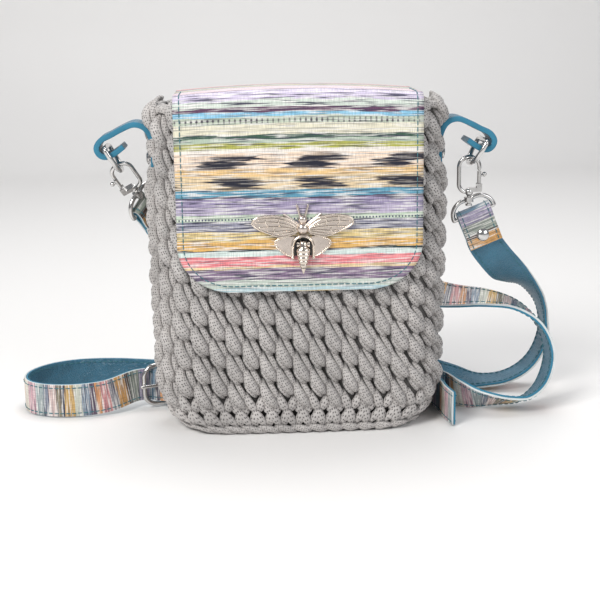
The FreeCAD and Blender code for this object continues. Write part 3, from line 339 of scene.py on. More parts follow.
def template(maker):
    """A small mesh made once and copied to many places."""
    mesh = bpy.data.meshes.new("template")
    bm = bmesh.new()
    maker(bm)
    outward(bm)
    bm.to_mesh(mesh)
    bm.free()
    return mesh


def leaf(bm):
    """One stitch, in millimetres: across, up and out of the wall."""
    tube(bm, [(-2.2, 9.2, -3.2), (-3.0, 6.2, 0.0), (-2.1, 2.0, 2.5), (-0.2, -2.4, 3.2), (1.5, -6.2, 1.4),
              (2.2, -8.8, -2.8)], (1.1, 2.3, 3.3, 3.2, 2.2, 0.9), 9, 9, 0.98)
    tube(bm, [(-0.4, 9.6, -3.0), (1.3, 7.0, -0.8), (2.8, 3.2, 0.4), (3.7, -1.0, 0.5), (4.0, -4.8, -0.8),
              (3.7, -7.4, -3.0)], (1.0, 1.8, 2.2, 2.1, 1.6, 0.9), 7, 7, 0.95)
    tube(bm, [(-4.3, 1.4, -2.2), (-4.0, -1.8, 0.5), (-2.6, -5.4, 1.4), (-0.8, -8.4, 0.3),
              (0.2, -10.2, -2.2)], (1.2, 1.9, 2.1, 1.7, 1.0), 7, 6, 0.95)


def vee(bm):
    """One plain stitch of the lowest rows, in millimetres."""
    tube(bm, [(-4.3, 4.6, -1.8), (-3.5, 1.8, 0.9), (-1.7, -1.8, 1.5), (-0.3, -4.6, -0.8)],
         (1.5, 2.3, 2.4, 1.5), 7, 5, 0.9)
    tube(bm, [(4.5, 4.2, -1.8), (3.8, 1.4, 0.7), (2.1, -1.6, 1.3), (0.6, -4.4, -1.0)],
         (1.5, 2.2, 2.3, 1.4), 7, 5, 0.9)


def bar_strand(bm):
    """One length of the edge cord, lying nearly level."""
    tube(bm, [(-7.6, 1.0, -1.4), (-4.5, 0.9, 0.3), (0, 0.1, 1.0), (4.5, -0.8, 0.3), (7.6, -1.0, -1.4)],
         (1.3, 2.1, 2.4, 2.1, 1.3), 7, 6, 0.9)


(leaf_mesh, vee_mesh, bar_mesh) = (template(leaf), template(vee), template(bar_strand))
chance = random.Random(4)
MOUTH_Z = 0.198
TAB_Z = 0.168
FRONT_SWELL = 0.0028
SIDE_SWELL = 0.0032
TAB_DENT = 0.0042


def fullness(u, z):
    """The filled bag swells a little below the flap; the fabric dips where the tabs pull."""
    (front, low) = (cos(u / AROUND * 2 * pi), max(0.0, 1 - ((z - 0.04) / 0.05) ** 2))
    swell = FRONT_SWELL * low * max(0.0, front)
    swell += abs(sin(u / AROUND * 2 * pi)) ** 3 * (z / MOUTH_Z * SIDE_SWELL - 0.0008)
    side = abs(abs(u) - AROUND / 4)
    pull = max(0.0, 1 - side / 0.014) * max(0.0, 1 - abs(z - TAB_Z) / 0.017)
    return swell - TAB_DENT * min(1.0, 2 * pull)


def place_stitch(bm, mesh, u, z, out=0.0, lean=0.0, grow=1.0):
    """Copies a template on to the wall, leaning and growing it a little."""
    (have, had) = (len(bm.verts), len(bm.faces))
    out += fullness(u, z)
    if not bm.loops.layers.uv.get("UVMap"):
        bm.loops.layers.uv.new("UVMap")
    bm.from_mesh(mesh)
    bm.verts.ensure_lookup_table()
    bm.faces.ensure_lookup_table()
    marks = bm.loops.layers.uv.get("UVMap")
    source = mesh.uv_layers["UVMap"].data
    for face, first in zip(bm.faces[had:], mesh.polygons):
        for corner, k in zip(face.loops, first.loop_indices):
            corner[marks].uv = source[k].uv
    for v in bm.verts[have:]:
        (x, y, rise) = v.co * MM * grow
        v.co = wall_point(u + x - lean * y, z + y, out + rise)


def column_stitches(columns):
    """Leaves up each column, every other one half a stitch higher, above two plain rows."""
    def build(bm):
        for k in columns:
            u = k * AROUND / COLUMNS
            z = FIRST_LEAF[k % 2]
            while z < LAST_LEAF:
                slope = LEAN + 0.05 * sin(u * 18) + chance.uniform(-0.05, 0.05)
                place_stitch(bm, leaf_mesh, u + chance.uniform(-0.0004, 0.0004),
                             z + chance.uniform(-0.0006, 0.0006), chance.uniform(-0.0003, 0.0003),
                             slope, chance.uniform(0.97, 1.05))
                z += PITCH
            (foot, sunk) = ((0.0160, -0.0014), (0.0190, -0.0002))[k % 2]
            place_stitch(bm, vee_mesh, u + 0.0006, foot, sunk, 0.05, 1.25)
            place_stitch(bm, vee_mesh, u + AROUND / COLUMNS / 2, 0.0102, 0.0008, 0.05, 1.32)
    return build


parts_of_wall = {"stitches_front": range(-10, 1), "stitches_front_right": range(1, 11),
                 "stitches_back_right": range(11, 21), "stitches_back_left": range(-19, -10)}
for name, columns in parts_of_wall.items():
    piece = new_object(name, column_stitches(columns), knitted_cord)
    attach(piece, "bag")


def edge_cords(bm):
    """The cord that ends the base, and the chain round the mouth."""
    for i in range(EDGE_STITCHES):
        u = i * AROUND / EDGE_STITCHES
        place_stitch(bm, bar_mesh, u, 0.0025, 0.0034, 0, 1.02)
        place_stitch(bm, bar_mesh, u + 0.003, 0.1945, -0.0012, 0, 1.0)
        place_stitch(bm, bar_mesh, u, 0.1955, -0.0050, 0, 0.95)


edges_piece = new_object("edge_cords", edge_cords, knitted_cord)
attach(edges_piece, "bag")


def wall_loop(bm, z, out, steps=80):
    """A closed ring of edges round the bag at one height."""
    made = bmesh.ops.create_circle(bm, cap_ends=False, segments=steps, radius=1)
    for i, v in enumerate(made["verts"]):
        v.co = wall_point(i * AROUND / steps, z, out)
    return [e for e in {e for v in made["verts"] for e in v.link_edges}]


def core_mesh(bm):
    """The shadowed fabric behind the stitches, open at the mouth, with a floor."""
    rows = [(0.002, -0.010), (0.002, -0.0005), (0.012, 0.0002), (0.022, 0.0004), (0.034, 0.0005),
            (0.193, 0.0004), (0.196, -0.0030), (0.193, -0.0052), (0.034, -0.0052), (0.022, -0.0056),
            (0.012, -0.008)]
    rings = [wall_loop(bm, z, out) for z, out in rows]
    for a, b in zip(rings, rings[1:]):
        bmesh.ops.bridge_loops(bm, edges=a + b)
    for ring in (rings[0], rings[-1]):
        bmesh.ops.holes_fill(bm, edges=ring, sides=0)
    outward(bm)


core = new_object("wall_core", core_mesh, shadow_cloth)
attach(core, "bag")
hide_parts("crochet_wall", "crochet_base", "rim_chain")

# ---- Printed flap ----------------------------------------
# Leatherette printed with woven-look stripes, backed with pale blue and stitched close to its
# edge. It is sewn to the back, folds over the mouth and hangs down in front.
FLAP_HALF = 0.0715
FLAP_LOW = 0.089
BEND_Z = 0.1965
BEND_Y = 0.027
BEND_R = 0.0065
FLAP_CORNER = (0.032, 0.028)      # the lower corners' rounding, across and up
FLAP_THICK = 0.0020
FLAP_CROWN = 0.0037               # how much the middle stands above the sides
CORNER_CURL = 0.0015
FLAP_SEAM = 0.0036                # from the edge to the stitches, and from stitch to stitch
PRINT_RUN = 148.0                 # mm
(PANEL_RUN, BEND_RUN) = (BEND_Z - FLAP_LOW, BEND_R * pi / 2)
TOP_END = PANEL_RUN + 2 * BEND_RUN + 2 * BEND_Y
FLAP_RUN = TOP_END + 0.0465


def flap_point(x, s, lift=0.0):
    """A point of the flap's printed face, s metres up and over from its lower edge."""
    share = x / FLAP_HALF
    crown = FLAP_CROWN * max(0.0, 1 - share * share)
    if s < PANEL_RUN:
        place = Vector((x, -BEND_Y - BEND_R, FLAP_LOW + s))
        normal = Vector((0, -1, 0))
        place.y -= max(0.0, 1 - s / 0.03) ** 2 * abs(share) ** 3 * CORNER_CURL
        crown *= max(0.0, s / PANEL_RUN - 0.7) / 0.3 * 0.35
    elif s < PANEL_RUN + BEND_RUN:
        angle = (s - PANEL_RUN) / BEND_R
        normal = Vector((0, -cos(angle), sin(angle)))
        place = Vector((x, -BEND_Y, BEND_Z)) + normal * BEND_R
        crown *= 0.35 + 0.5 * sin(angle)
    elif s < PANEL_RUN + BEND_RUN + 2 * BEND_Y:
        place = Vector((x, s - PANEL_RUN - BEND_RUN - BEND_Y, BEND_Z + BEND_R))
        normal = Vector((0, 0, 1))
        crown *= 0.85 + 0.15 * cos(place.y / BEND_Y * pi / 2)
    elif s < TOP_END:
        angle = (s - TOP_END + BEND_RUN) / BEND_R
        normal = Vector((0, sin(angle), cos(angle)))
        place = Vector((x, BEND_Y, BEND_Z)) + normal * BEND_R
        crown *= 0.35 + 0.5 * cos(angle)
    else:
        place = Vector((x, BEND_Y + BEND_R, BEND_Z - (s - TOP_END)))
        normal = Vector((0, 1, 0))
        crown *= max(0.0, 0.35 - (s - TOP_END) / 0.05)
    return place + Vector((0, 0, crown)) + normal * lift, normal


def flap_half_width(s):
    """Half the flap's width s metres up from its lower edge."""
    (across, up) = FLAP_CORNER
    if s >= up:
        return FLAP_HALF
    rise = 1 - s / up
    return FLAP_HALF - across * (1 - sqrt(max(0.0, 1 - rise * rise)))


def sheet_rows(low, high, count):
    """Rows that crowd together towards the rounded lower edge."""
    if low > 0:
        return [low + (high - low) * i / count for i in range(count + 1)]
    return [(high - low) * (i / count) ** 1.7 for i in range(count + 1)]


def flap_sheet(low, high, rows, columns):
    """The flap's printed face from low to high along it; its UV is (across, along) in metres."""
    def build(bm):
        bmesh.ops.create_grid(bm, x_segments=columns, y_segments=rows, size=1)
        marks = bm.loops.layers.uv.new("UVMap")
        levels = sheet_rows(low, high, rows)
        flat = {}
        for v in bm.verts:
            s = levels[round((v.co.y + 1) / 2 * rows)]
            x = v.co.x * flap_half_width(s)
            flat[v] = (x, s)
            v.co = flap_point(x, s)[0]
        for face in bm.faces:
            for corner in face.loops:
                corner[marks].uv = flat[corner.vert]
        face_towards(bm, flap_point(0, low + 0.001)[1])
    return build


def face_towards(bm, way):
    """Turns a sheet over if its first face looks away from the given direction."""
    bm.normal_update()
    bm.faces.ensure_lookup_table()
    if bm.faces[0].normal.dot(way) < 0:
        bmesh.ops.reverse_faces(bm, faces=bm.faces)


def thicken(piece, thickness, inside, rim):
    """Gives a sheet its thickness inwards, with its own inner and edge material."""
    for extra in (inside, rim):
        piece.data.materials.append(extra)
    solid = piece.modifiers.new("thickness", "SOLIDIFY")
    solid.thickness = thickness
    solid.offset = -1
    solid.material_offset = 1
    solid.material_offset_rim = 2


# Each stripe: where it starts in mm from the lower edge, its colour, how streaked it is.
FLAP_STRIPES = [
    (0.0, (0.68, 0.78, 0.80), 0.25), (1.9, (0.74, 0.78, 0.74), 0.30), (6.5, (0.52, 0.44, 0.54), 0.80),
    (13.6, (0.90, 0.80, 0.62), 0.30), (15.4, (0.90, 0.52, 0.54), 0.30), (21.3, (0.80, 0.86, 0.84), 0.15),
    (24.0, (0.16, 0.24, 0.24), 0.40), (25.2, (0.86, 0.68, 0.38), 0.35), (30.5, (0.86, 0.77, 0.54), 0.40),
    (35.3, (0.58, 0.58, 0.64), 0.75), (41.7, (0.74, 0.80, 0.72), 0.30), (45.2, (0.68, 0.64, 0.74), 0.40),
    (50.0, (0.60, 0.56, 0.68), 0.50), (54.4, (0.32, 0.28, 0.36), 0.50), (55.9, (0.36, 0.60, 0.70), 0.40),
    (59.7, (0.88, 0.79, 0.64), 0.35), (67.7, (0.90, 0.76, 0.54), 0.35), (71.8, (0.93, 0.84, 0.75), 0.30),
    (80.6, (0.93, 0.90, 0.86), 0.15), (82.8, (0.68, 0.68, 0.32), 0.40), (86.2, (0.68, 0.74, 0.67), 0.40),
    (88.8, (0.22, 0.34, 0.28), 0.40), (91.0, (0.87, 0.85, 0.76), 0.25), (96.7, (0.72, 0.76, 0.69), 0.30),
    (100.9, (0.54, 0.76, 0.87), 0.30), (103.0, (0.38, 0.25, 0.36), 0.45), (106.0, (0.80, 0.84, 0.80), 0.50),
    (109.5, (0.78, 0.74, 0.83), 0.50), (117.5, (0.50, 0.34, 0.46), 0.45), (119.5, (0.93, 0.83, 0.86), 0.25),
    (136.0, (0.66, 0.72, 0.76), 0.35), (141.0, (0.82, 0.72, 0.52), 0.40)]
STRAP_STRIPES = [
    (0.0, (0.46, 0.49, 0.55), 0.50), (3.6, (0.79, 0.70, 0.68), 0.20), (8.5, (0.50, 0.46, 0.37), 0.40),
    (12.0, (0.24, 0.25, 0.32), 0.30), (13.4, (0.76, 0.62, 0.38), 0.30), (19.0, (0.74, 0.75, 0.70), 0.20),
    (24.0, (0.51, 0.57, 0.63), 0.45), (29.0, (0.36, 0.30, 0.37), 0.40), (32.0, (0.80, 0.57, 0.38), 0.25),
    (36.0, (0.79, 0.55, 0.55), 0.30), (42.0, (0.59, 0.58, 0.60), 0.50), (46.5, (0.77, 0.58, 0.34), 0.25),
    (54.0, (0.34, 0.28, 0.25), 0.35), (56.0, (0.56, 0.59, 0.55), 0.35), (63.0, (0.61, 0.58, 0.67), 0.30),
    (70.0, (0.41, 0.52, 0.60), 0.40), (75.0, (0.30, 0.28, 0.34), 0.40), (77.5, (0.80, 0.59, 0.41), 0.25),
    (82.0, (0.83, 0.80, 0.74), 0.15), (88.0, (0.80, 0.64, 0.67), 0.35), (95.0, (0.60, 0.65, 0.65), 0.30)]
STRAP_REPEAT = 101.0


def to_linear(colour):
    """The stripes are named as seen on a screen; shaders want them linear."""
    return tuple((c / 12.92 if c <= 0.04045 else ((c + 0.055) / 1.055) ** 2.4) for c in colour)


def ramp_of(tree, place, stops, run):
    """A ramp of flat colours; each stop is where it starts and its colour."""
    ramp = node(tree, "ShaderNodeValToRGB", {0: place})
    band = ramp.color_ramp
    band.interpolation = "CONSTANT"
    band.elements.remove(band.elements[1])
    for i, (start, colour) in enumerate(stops):
        stop = band.elements.new(start / run) if i else band.elements[0]
        stop.position = start / run
        stop.color = (*colour, 1)
    return ramp.outputs["Color"]


def thread_group():
    """A woven-look print: takes across and along in metres, gives wobble, streaks and weave."""
    fields = (("Wobble", 32, 620, 4, 0.0, 1.0), ("Dark", 46, 1300, 4, 0.50, 0.59),
              ("Pale", 58, 1150, 4, 0.51, 0.61), ("Weave", 2400, 160, 1, 0.34, 0.66))
    (group, start, end) = node_group("printed_weave", (("Across", "Float"), ("Along", "Float")),
                                     [(field[0], "Float") for field in fields])
    for target, across, along, detail, low, high in fields:
        joined = node(group, "ShaderNodeCombineXYZ")
        for axis, (socket, factor) in enumerate((("Across", across), ("Along", along))):
            times = node(group, "ShaderNodeMath", {0: start[socket], 1: factor}, operation="MULTIPLY")
            feed(group, joined, {axis: times.outputs[0]})
        cloud = node(group, "ShaderNodeTexNoise",
                     {"Vector": joined.outputs[0], "Scale": 1.0, "Detail": detail})
        reach = node(group, "ShaderNodeMapRange",
                     {"Value": cloud.outputs["Fac"], "From Min": low, "From Max": high})
        feed(group, end, {target: reach.outputs["Result"]})
    return group


printed_weave = thread_group()


def striped_print(name, stripes, run, figured=False):
    """Ragged, streaked stripes on the UV in metres; figured adds the flap's blots and dots."""
    (material, tree) = shader_material(name)
    uv = node(tree, "ShaderNodeUVMap", uv_map="UVMap")
    (x, y, _) = node(tree, "ShaderNodeSeparateXYZ", {0: uv.outputs["UV"]}).outputs
    weave = node(tree, "ShaderNodeGroup", {"Across": x, "Along": y}, node_tree=printed_weave).outputs

    def math(operation, a, b, clamp=False):
        return node(tree, "ShaderNodeMath", {0: a, 1: b}, operation=operation, use_clamp=clamp).outputs[0]

    def mix(factor, a, b):
        inputs = {"Factor": factor, "A": a, "B": (*b, 1)}
        return node(tree, "ShaderNodeMix", inputs, data_type="RGBA").outputs["Result"]

    def between(value, low, high, soft):
        """1 between low and high (mm), falling off over soft."""
        up = math("MULTIPLY", math("SUBTRACT", value, low / 1000), 1000 / soft, True)
        down = math("MULTIPLY", math("SUBTRACT", high / 1000, value), 1000 / soft, True)
        return math("MULTIPLY", up, down)

    wobble = math("SUBTRACT", weave["Wobble"], 0.5)
    shifted = math("ADD", y, math("MULTIPLY", wobble, 0.0040))
    place = math("FRACT", math("DIVIDE", shifted, run / 1000), 0)
    colours = ramp_of(tree, place, [(s, to_linear(c)) for s, c, d in stripes], run)
    streaks = ramp_of(tree, place, [(s, (d, d, d)) for s, c, d in stripes], run)
    dark = math("MULTIPLY", math("MULTIPLY", weave["Dark"], streaks), 1.9, True)
    shown = mix(dark, colours, (0.035, 0.035, 0.07))
    shown = mix(math("MULTIPLY", weave["Pale"], 0.72), shown, (0.82, 0.80, 0.77))
    if figured:
        for low, high, middle, slant in ((59.9, 67.9, 0.0126, -0.9), (71.6, 80.8, 0.0076, 2.2)):
            rise = math("SUBTRACT", y, (low + high) / 2000)
            lean = math("SUBTRACT", math("SUBTRACT", x, middle), math("MULTIPLY", rise, slant))
            wave = math("COSINE", math("MULTIPLY", lean, 2 * pi / 0.0490), 0)
            wave = math("ADD", math("ADD", wave, math("MULTIPLY", wobble, 5.5)), 0.22)
            block = math("MULTIPLY", math("MULTIPLY", wave, 2.4, True), between(shifted, low, high, 1.6))
            block = math("MULTIPLY", block, math("SUBTRACT", 1, math("MULTIPLY", weave["Pale"], 0.30)))
            shown = mix(block, shown, (0.009, 0.010, 0.024))
        ticks = math("SINE", math("MULTIPLY", x, 2 * pi / 0.0031), 0)
        ticks = math("SUBTRACT", math("ADD", ticks, math("MULTIPLY", wobble, 4)), 0.3)
        ticks = math("MULTIPLY", math("MULTIPLY", ticks, 0.9, True), between(y, 97.2, 100.6, 0.5))
        shown = mix(ticks, shown, (0.06, 0.05, 0.07))
        dots = math("MULTIPLY", math("SINE", math("MULTIPLY", x, 2 * pi / 0.0019), 0), 2, True)
        shown = mix(math("MULTIPLY", dots, between(y, 42.4, 43.7, 0.3)), shown, (0.03, 0.04, 0.10))
    light = math("ADD", math("MULTIPLY", weave["Weave"], 0.28), 0.86)
    shade = node(tree, "ShaderNodeHueSaturation", {"Value": light, "Color": shown})
    rough = math("ADD", math("MULTIPLY", weave["Pale"], 0.12), 0.42)
    surface(tree, {"Base Color": shade.outputs["Color"], "Roughness": rough},
            (weave["Weave"], 0.25, 0.0002))
    return material


def hide_material(name, colour, grain, rough, depth=0.00012, amount=0.10):
    """Leather or leatherette: fine pebbles and a little uneven colour."""
    (material, tree) = shader_material(name)
    pebble = node(tree, "ShaderNodeTexVoronoi", {"Vector": on_object(tree), "Scale": grain},
                  feature="DISTANCE_TO_EDGE")
    soft = node(tree, "ShaderNodeMapRange", {"Value": pebble.outputs["Distance"], "From Max": 0.22})
    surface(tree, {"Base Color": varied(tree, colour, 90, amount), "Roughness": rough},
            (soft.outputs["Result"], 0.6, depth))
    return material


flap_print = striped_print("flap_print", FLAP_STRIPES, PRINT_RUN, figured=True)
flap_backing = hide_material("flap_backing", (0.36, 0.55, 0.62), 900, 0.6)
flap_edge = hide_material("flap_edge", (0.50, 0.68, 0.74), 1500, 0.55)
FRONT_BEND = ((0, -BEND_Y - BEND_R, BEND_Z - 0.002), (0, -BEND_Y + 0.002, BEND_Z + BEND_R))
REAR_BEND = ((0, BEND_Y + BEND_R, BEND_Z - 0.002), (0, BEND_Y - 0.002, BEND_Z + BEND_R))
MEETING = PANEL_RUN + BEND_RUN + BEND_Y

flap_fall = new_object("flap_fall", flap_sheet(0, MEETING, 110, 44), flap_print)
thicken(flap_fall, FLAP_THICK, flap_backing, flap_edge)
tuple(FRONT_BEND[0])
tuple(FRONT_BEND[1])
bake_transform(flap_fall)
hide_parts("flap_front_print", "flap_front_lining", "flap_top_print", "flap_top_lining")
flap_rear = new_object("flap_rear", flap_sheet(MEETING, FLAP_RUN, 50, 44), flap_print)
thicken(flap_rear, FLAP_THICK, flap_backing, flap_edge)
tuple(REAR_BEND[0])
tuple(REAR_BEND[1])
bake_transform(flap_rear)
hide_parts("flap_rear_print", "flap_rear_lining")

(thread, tree) = shader_material("teal_thread")
surface(tree, {"Base Color": varied(tree, (0.05, 0.17, 0.20), 900, 0.25), "Roughness": 0.7})


def stitch_bar(bm):
    """One stitch of thread, in millimetres."""
    tube(bm, [(-1.35, 0, -0.22), (-0.8, 0, 0.10), (0.8, 0, 0.10), (1.35, 0, -0.22)],
         (0.2, 0.3, 0.3, 0.2), 6, 3)


stitch_mesh = template(stitch_bar)


def lay_stitch(bm, place, along, normal):
    """Copies one stitch on to a surface point."""
    have = len(bm.verts)
    bm.from_mesh(stitch_mesh)
    bm.verts.ensure_lookup_table()
    across = normal.cross(along).normalized()
    for v in bm.verts[have:]:
        (x, y, z) = v.co * MM
        v.co = place + along * x + across * y + normal * z


def flap_outline(inset):
    """The flap's stitch line from one top corner round the lower edge to the other."""
    right = []
    steps = 400
    for i in range(steps + 1):
        s = inset + (MEETING - inset) * (i / steps) ** 2
        rise = max(0.0, 1 - (s - inset) / (FLAP_CORNER[1] - inset))
        x = FLAP_HALF - inset - (FLAP_CORNER[0] - inset) * (1 - sqrt(max(0.0, 1 - rise * rise)))
        right.append((x, s))
    return [(-x, s) for x, s in right[::-1]] + right


def walk(points, step):
    """Evenly spaced places along a list of vectors, with the direction at each."""
    gone = 0.0
    due = step / 2
    for a, b in zip(points, points[1:]):
        length = (b - a).length
        while length > 0 and due <= gone + length:
            yield a.lerp(b, (due - gone) / length), (b - a).normalized()
            due += step
        gone += length


def flap_stitching(bm):
    """Stitches along the flap's outline, laid on its curved face."""
    flat = [Vector((x, s, 0)) for x, s in flap_outline(FLAP_SEAM)]
    for spot, way in walk(flat, FLAP_SEAM):
        (place, normal) = flap_point(spot.x, spot.y, 0.0001)
        ahead = flap_point(spot.x + way.x * 0.0005, spot.y + way.y * 0.0005, 0.0001)[0] - place
        lay_stitch(bm, place, ahead.normalized(), normal)


flap_stitches = new_object("flap_stitches", flap_stitching, thread)
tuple(FRONT_BEND[0])
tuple(FRONT_BEND[1])
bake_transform(flap_stitches)

# ---- Strap -----------------------------------------------
# Two layers sewn together: the striped print outside and teal pebbled leather inside. Each end
# is folded round its bar and riveted; the long part runs through the buckle.
STRAP_HALF = 0.0105
LAYER = 0.00128
STRAP_STEPS = 5                   # frames from one route point to the next
STRAP_SEAM = (0.0022, 0.0037)     # from the edge to the stitches, and from stitch to stitch


def fold_end(origin, face, up, turn, tail=22.0):
    """A strap end turned round a bar: from its tip, over the bar and down the main strap."""
    (origin, face, up) = (Vector(origin), Vector(face), Vector(up))
    run = [(-1.35, -21.0, -1, 0), (-1.35, -14.0, -1, 0), (-1.5, -8.0, -1, 0.05), (-turn, -1.8, -1, 0.1),
           (-turn * 0.72, turn * 0.72, -0.7, 0.7), (0, turn, 0, 1), (turn * 0.72, turn * 0.72, 0.7, 0.7),
           (turn, -1.8, 1, 0.1), (1.5, -8.0, 1, 0.05), (1.35, -14.0, 1, 0), (1.35, -tail, 1, 0)]
    return [(origin + face * y + up * z, face * ny + up * nz) for (y, z, ny, nz) in run]


def stations(rows):
    """(place in mm, way the print faces) for each row of six numbers."""
    return [(Vector(row[:3]), Vector(row[3:]).normalized()) for row in rows]


# The two routes are listed: where the middle of the strap runs and which way its print
# faces. Each goes from a folded end, round the bag, to the other end.
RIGHT_FOLD = fold_end((108.12, 0, 127.37), (0, 1, 0), (-0.3746, 0, 0.9272), 2.75)
LEFT_FOLD = fold_end((-93.06, 16.48, 135.54), (0.7801, -0.6235, -0.0522), (-0.3896, -0.5494, 0.7392), 2.75)
HEEL_FOLD = fold_end((-83, 31, 15), (0.3401, -0.9404, 0), (-0.9404, -0.3401, 0), 2.85)
BUCKLE_STRAP = HEEL_FOLD + stations([
    (-50, 40, 13.6, 0.1, -1, 0), (-24, 40.1, 12.7, 0, -1, 0),
    (-5, 38.8, 11.6, 0, -1, 0), (15, 37.2, 11, 0, -1, 0), (48, 36.6, 11, 0, -1, 0),
    (66, 35.6, 11, -0.2, -1, 0), (81, 30.5, 11, -0.5, -0.85, 0), (94, 18, 10.9, -0.7, -0.7, 0),
    (104, 6, 10, -0.5, -0.7, -0.35), (115, -1, 8.6, -0.2, -0.65, -0.75), (129, -2, 7.2, 0, -0.45, -0.9),
    (143, 0, 7.6, 0.4, -0.3, -0.87), (154.5, 3, 17.5, 0.85, -0.1, -0.5), (159.5, 7, 35, 1, 0, 0),
    (154, 12, 52.5, 0.85, 0, 0.5), (140, 17.5, 64, 0.45, -0.1, 0.9), (122, 22.5, 68, 0.05, -0.25, 0.97),
    (102, 28, 68.5, 0, -0.45, 0.9), (82, 33.5, 70.5, 0, -0.75, 0.65), (60, 35.5, 75, 0, -0.97, 0.25),
    (25, 34.5, 84, 0, -1, 0), (-20, 34, 96, 0, -1, 0), (-48, 34.5, 103.5, 0.1, -1, 0)]) + LEFT_FOLD[::-1]
LONG_STRAP = RIGHT_FOLD + stations([
    (127, 6, 94, 0.05, 0.95, 0.1), (140, 18, 82, 0.45, 0.8, 0.4), (154, 33, 70, 0.8, 0.35, 0.5),
    (163.5, 43, 53.5, 0.95, 0, 0.3), (165.5, 46, 35.5, 1, 0, 0), (158, 47, 18, 0.85, 0, -0.5),
    (143, 47.5, 7.4, 0.45, 0, -0.9), (124, 48.5, 4.6, 0, 0.1, -1), (104, 50, 7.6, 0, 0.55, -0.83),
    (83, 51, 10.8, 0, 0.92, -0.35), (62, 51, 11.0, 0, 1, 0), (20, 50, 11, 0, 1, 0), (-30, 50.5, 11, 0, 1, 0),
    (-70, 55, 11, -0.1, 1, 0), (-95, 62.5, 11, -0.3, 1, 0), (-120, 68.5, 11, -0.1, 1, 0),
    (-145, 68.5, 11, 0.25, 1, 0), (-164, 59.5, 11, -0.5, 0.85, 0), (-174.5, 43, 11, -0.95, 0.2, 0),
    (-173, 26, 11, -0.9, -0.5, 0), (-161, 15.5, 11, -0.4, -0.9, 0), (-142, 12.5, 11, 0, -1, 0),
    (-122, 15.5, 12.2, 0.15, -1, 0), (-105.4, 26.3, 15, 0.34, -0.94, 0), (-96.1, 29.7, 15, 0.34, -0.94, 0),
    (-89.7, 27.3, 15, 0.34, -0.94, 0), (-83.5, 24.9, 15, 0.34, -0.94, 0), (-79.7, 25.9, 15, 0.34, -0.94, 0),
    (-74.1, 28.6, 15, 0.34, -0.94, 0), (-67.1, 31.2, 15, 0.34, -0.94, 0), (-56, 35.2, 13.9, 0.2, -1, 0),
    (-46, 36.8, 12.9, 0, -1, 0), (-24, 36.9, 12.7, 0, -1, 0), (-5, 35.4, 11.6, 0, -1, 0),
    (15, 33.8, 11, 0, -1, 0), (48, 33.2, 11, 0, -1, 0), (63, 32, 11, -0.2, -1, 0),
    (76, 26.8, 11, -0.6, -0.8, 0), (85.5, 15, 11, -0.9, -0.4, 0), (89, 1, 11, -1, -0.1, 0),
    (90, -12, 11, -1, 0, 0), (92.5, -26, 11, -1, 0.1, 0)])
strap_print = striped_print("strap_print", STRAP_STRIPES, STRAP_REPEAT)
teal_leather = hide_material("teal_leather", (0.045, 0.155, 0.235), 620, 0.36, 0.00045, 0.16)
teal_edge = hide_material("teal_edge", (0.025, 0.19, 0.30), 1500, 0.6)
pale_edge = hide_material("pale_edge", (0.62, 0.66, 0.66), 1500, 0.6)


def strap_frames(route):
    """(middle, along, across, normal, length so far) at each step of a strap, in metres."""
    count = STRAP_STEPS * (len(route) - 1)
    middles = [p * MM for p in smooth_run([p for p, n in route], count)]
    facings = smooth_run([n for p, n in route], count)
    frames = []
    gone = 0.0
    for i, middle in enumerate(middles):
        along = (middles[min(i + 1, count)] - middles[max(i - 1, 0)]).normalized()
        normal = (facings[i] - along * facings[i].dot(along)).normalized()
        if i:
            gone += (middle - middles[i - 1]).length
        frames.append((middle, along, along.cross(normal), normal, gone))
    return frames


def strap_layer(route, offset, zero):
    """One layer as a grid laid along the route, its stripes counted from the route's point zero."""
    frames = strap_frames(route)
    start = frames[zero * STRAP_STEPS][4] - 10 * STRAP_REPEAT * MM
    count = len(frames) - 1

    def build(bm):
        bmesh.ops.create_grid(bm, x_segments=count, y_segments=4, size=1)
        marks = bm.loops.layers.uv.new("UVMap")
        flat = {}
        for v in bm.verts:
            (middle, along, across, normal, gone) = frames[round((v.co.x + 1) / 2 * count)]
            t = v.co.y * STRAP_HALF
            flat[v] = (t, gone - start)
            v.co = middle + across * t + normal * offset
        for face in bm.faces:
            for corner in face.loops:
                corner[marks].uv = flat[corner.vert]
        face_towards(bm, frames[0][3])
    return build


def strap_stitching(route):
    """A row of stitches near each edge, on both faces."""
    frames = strap_frames(route)

    def build(bm):
        for edge in (-1, 1):
            for face in (-1, 1):
                (aside, above) = (edge * (STRAP_HALF - STRAP_SEAM[0]), face * (LAYER + 0.0001))
                line = [middle + across * aside + normal * above for middle, _, across, normal, _ in frames]
                for spot, way in walk(line, STRAP_SEAM[1]):
                    near = min(frames, key=lambda f: (f[0] - spot).length_squared)
                    lay_stitch(bm, spot, way, near[3] * face)
    return build


LAYERS = (("print", LAYER / 2, strap_print, pale_edge, "strap_print"),
          ("leather", -LAYER / 2, teal_leather, teal_edge, "leather"))
for part, route, zero in (("buckle_strap", BUCKLE_STRAP, 20), ("long_strap", LONG_STRAP, 31)):
    for layer, offset, faces, edge, kind in LAYERS:
        piece = new_object(f"{part}_{layer}_layer", strap_layer(route, offset, zero), faces)
        thicken(piece, LAYER - 0.00004, faces, edge)
        piece.modifiers["thickness"].offset = 0
        piece.modifiers["thickness"].material_offset = 0
        rounding = piece.modifiers.new("edges", "BEVEL")
        rounding.width = 0.0003
        rounding.segments = 2
        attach(piece, "bag")
        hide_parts(f"{part}_{layer}")
    seam = new_object(f"{part}_stitches", strap_stitching(route), thread)
    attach(seam, "bag")

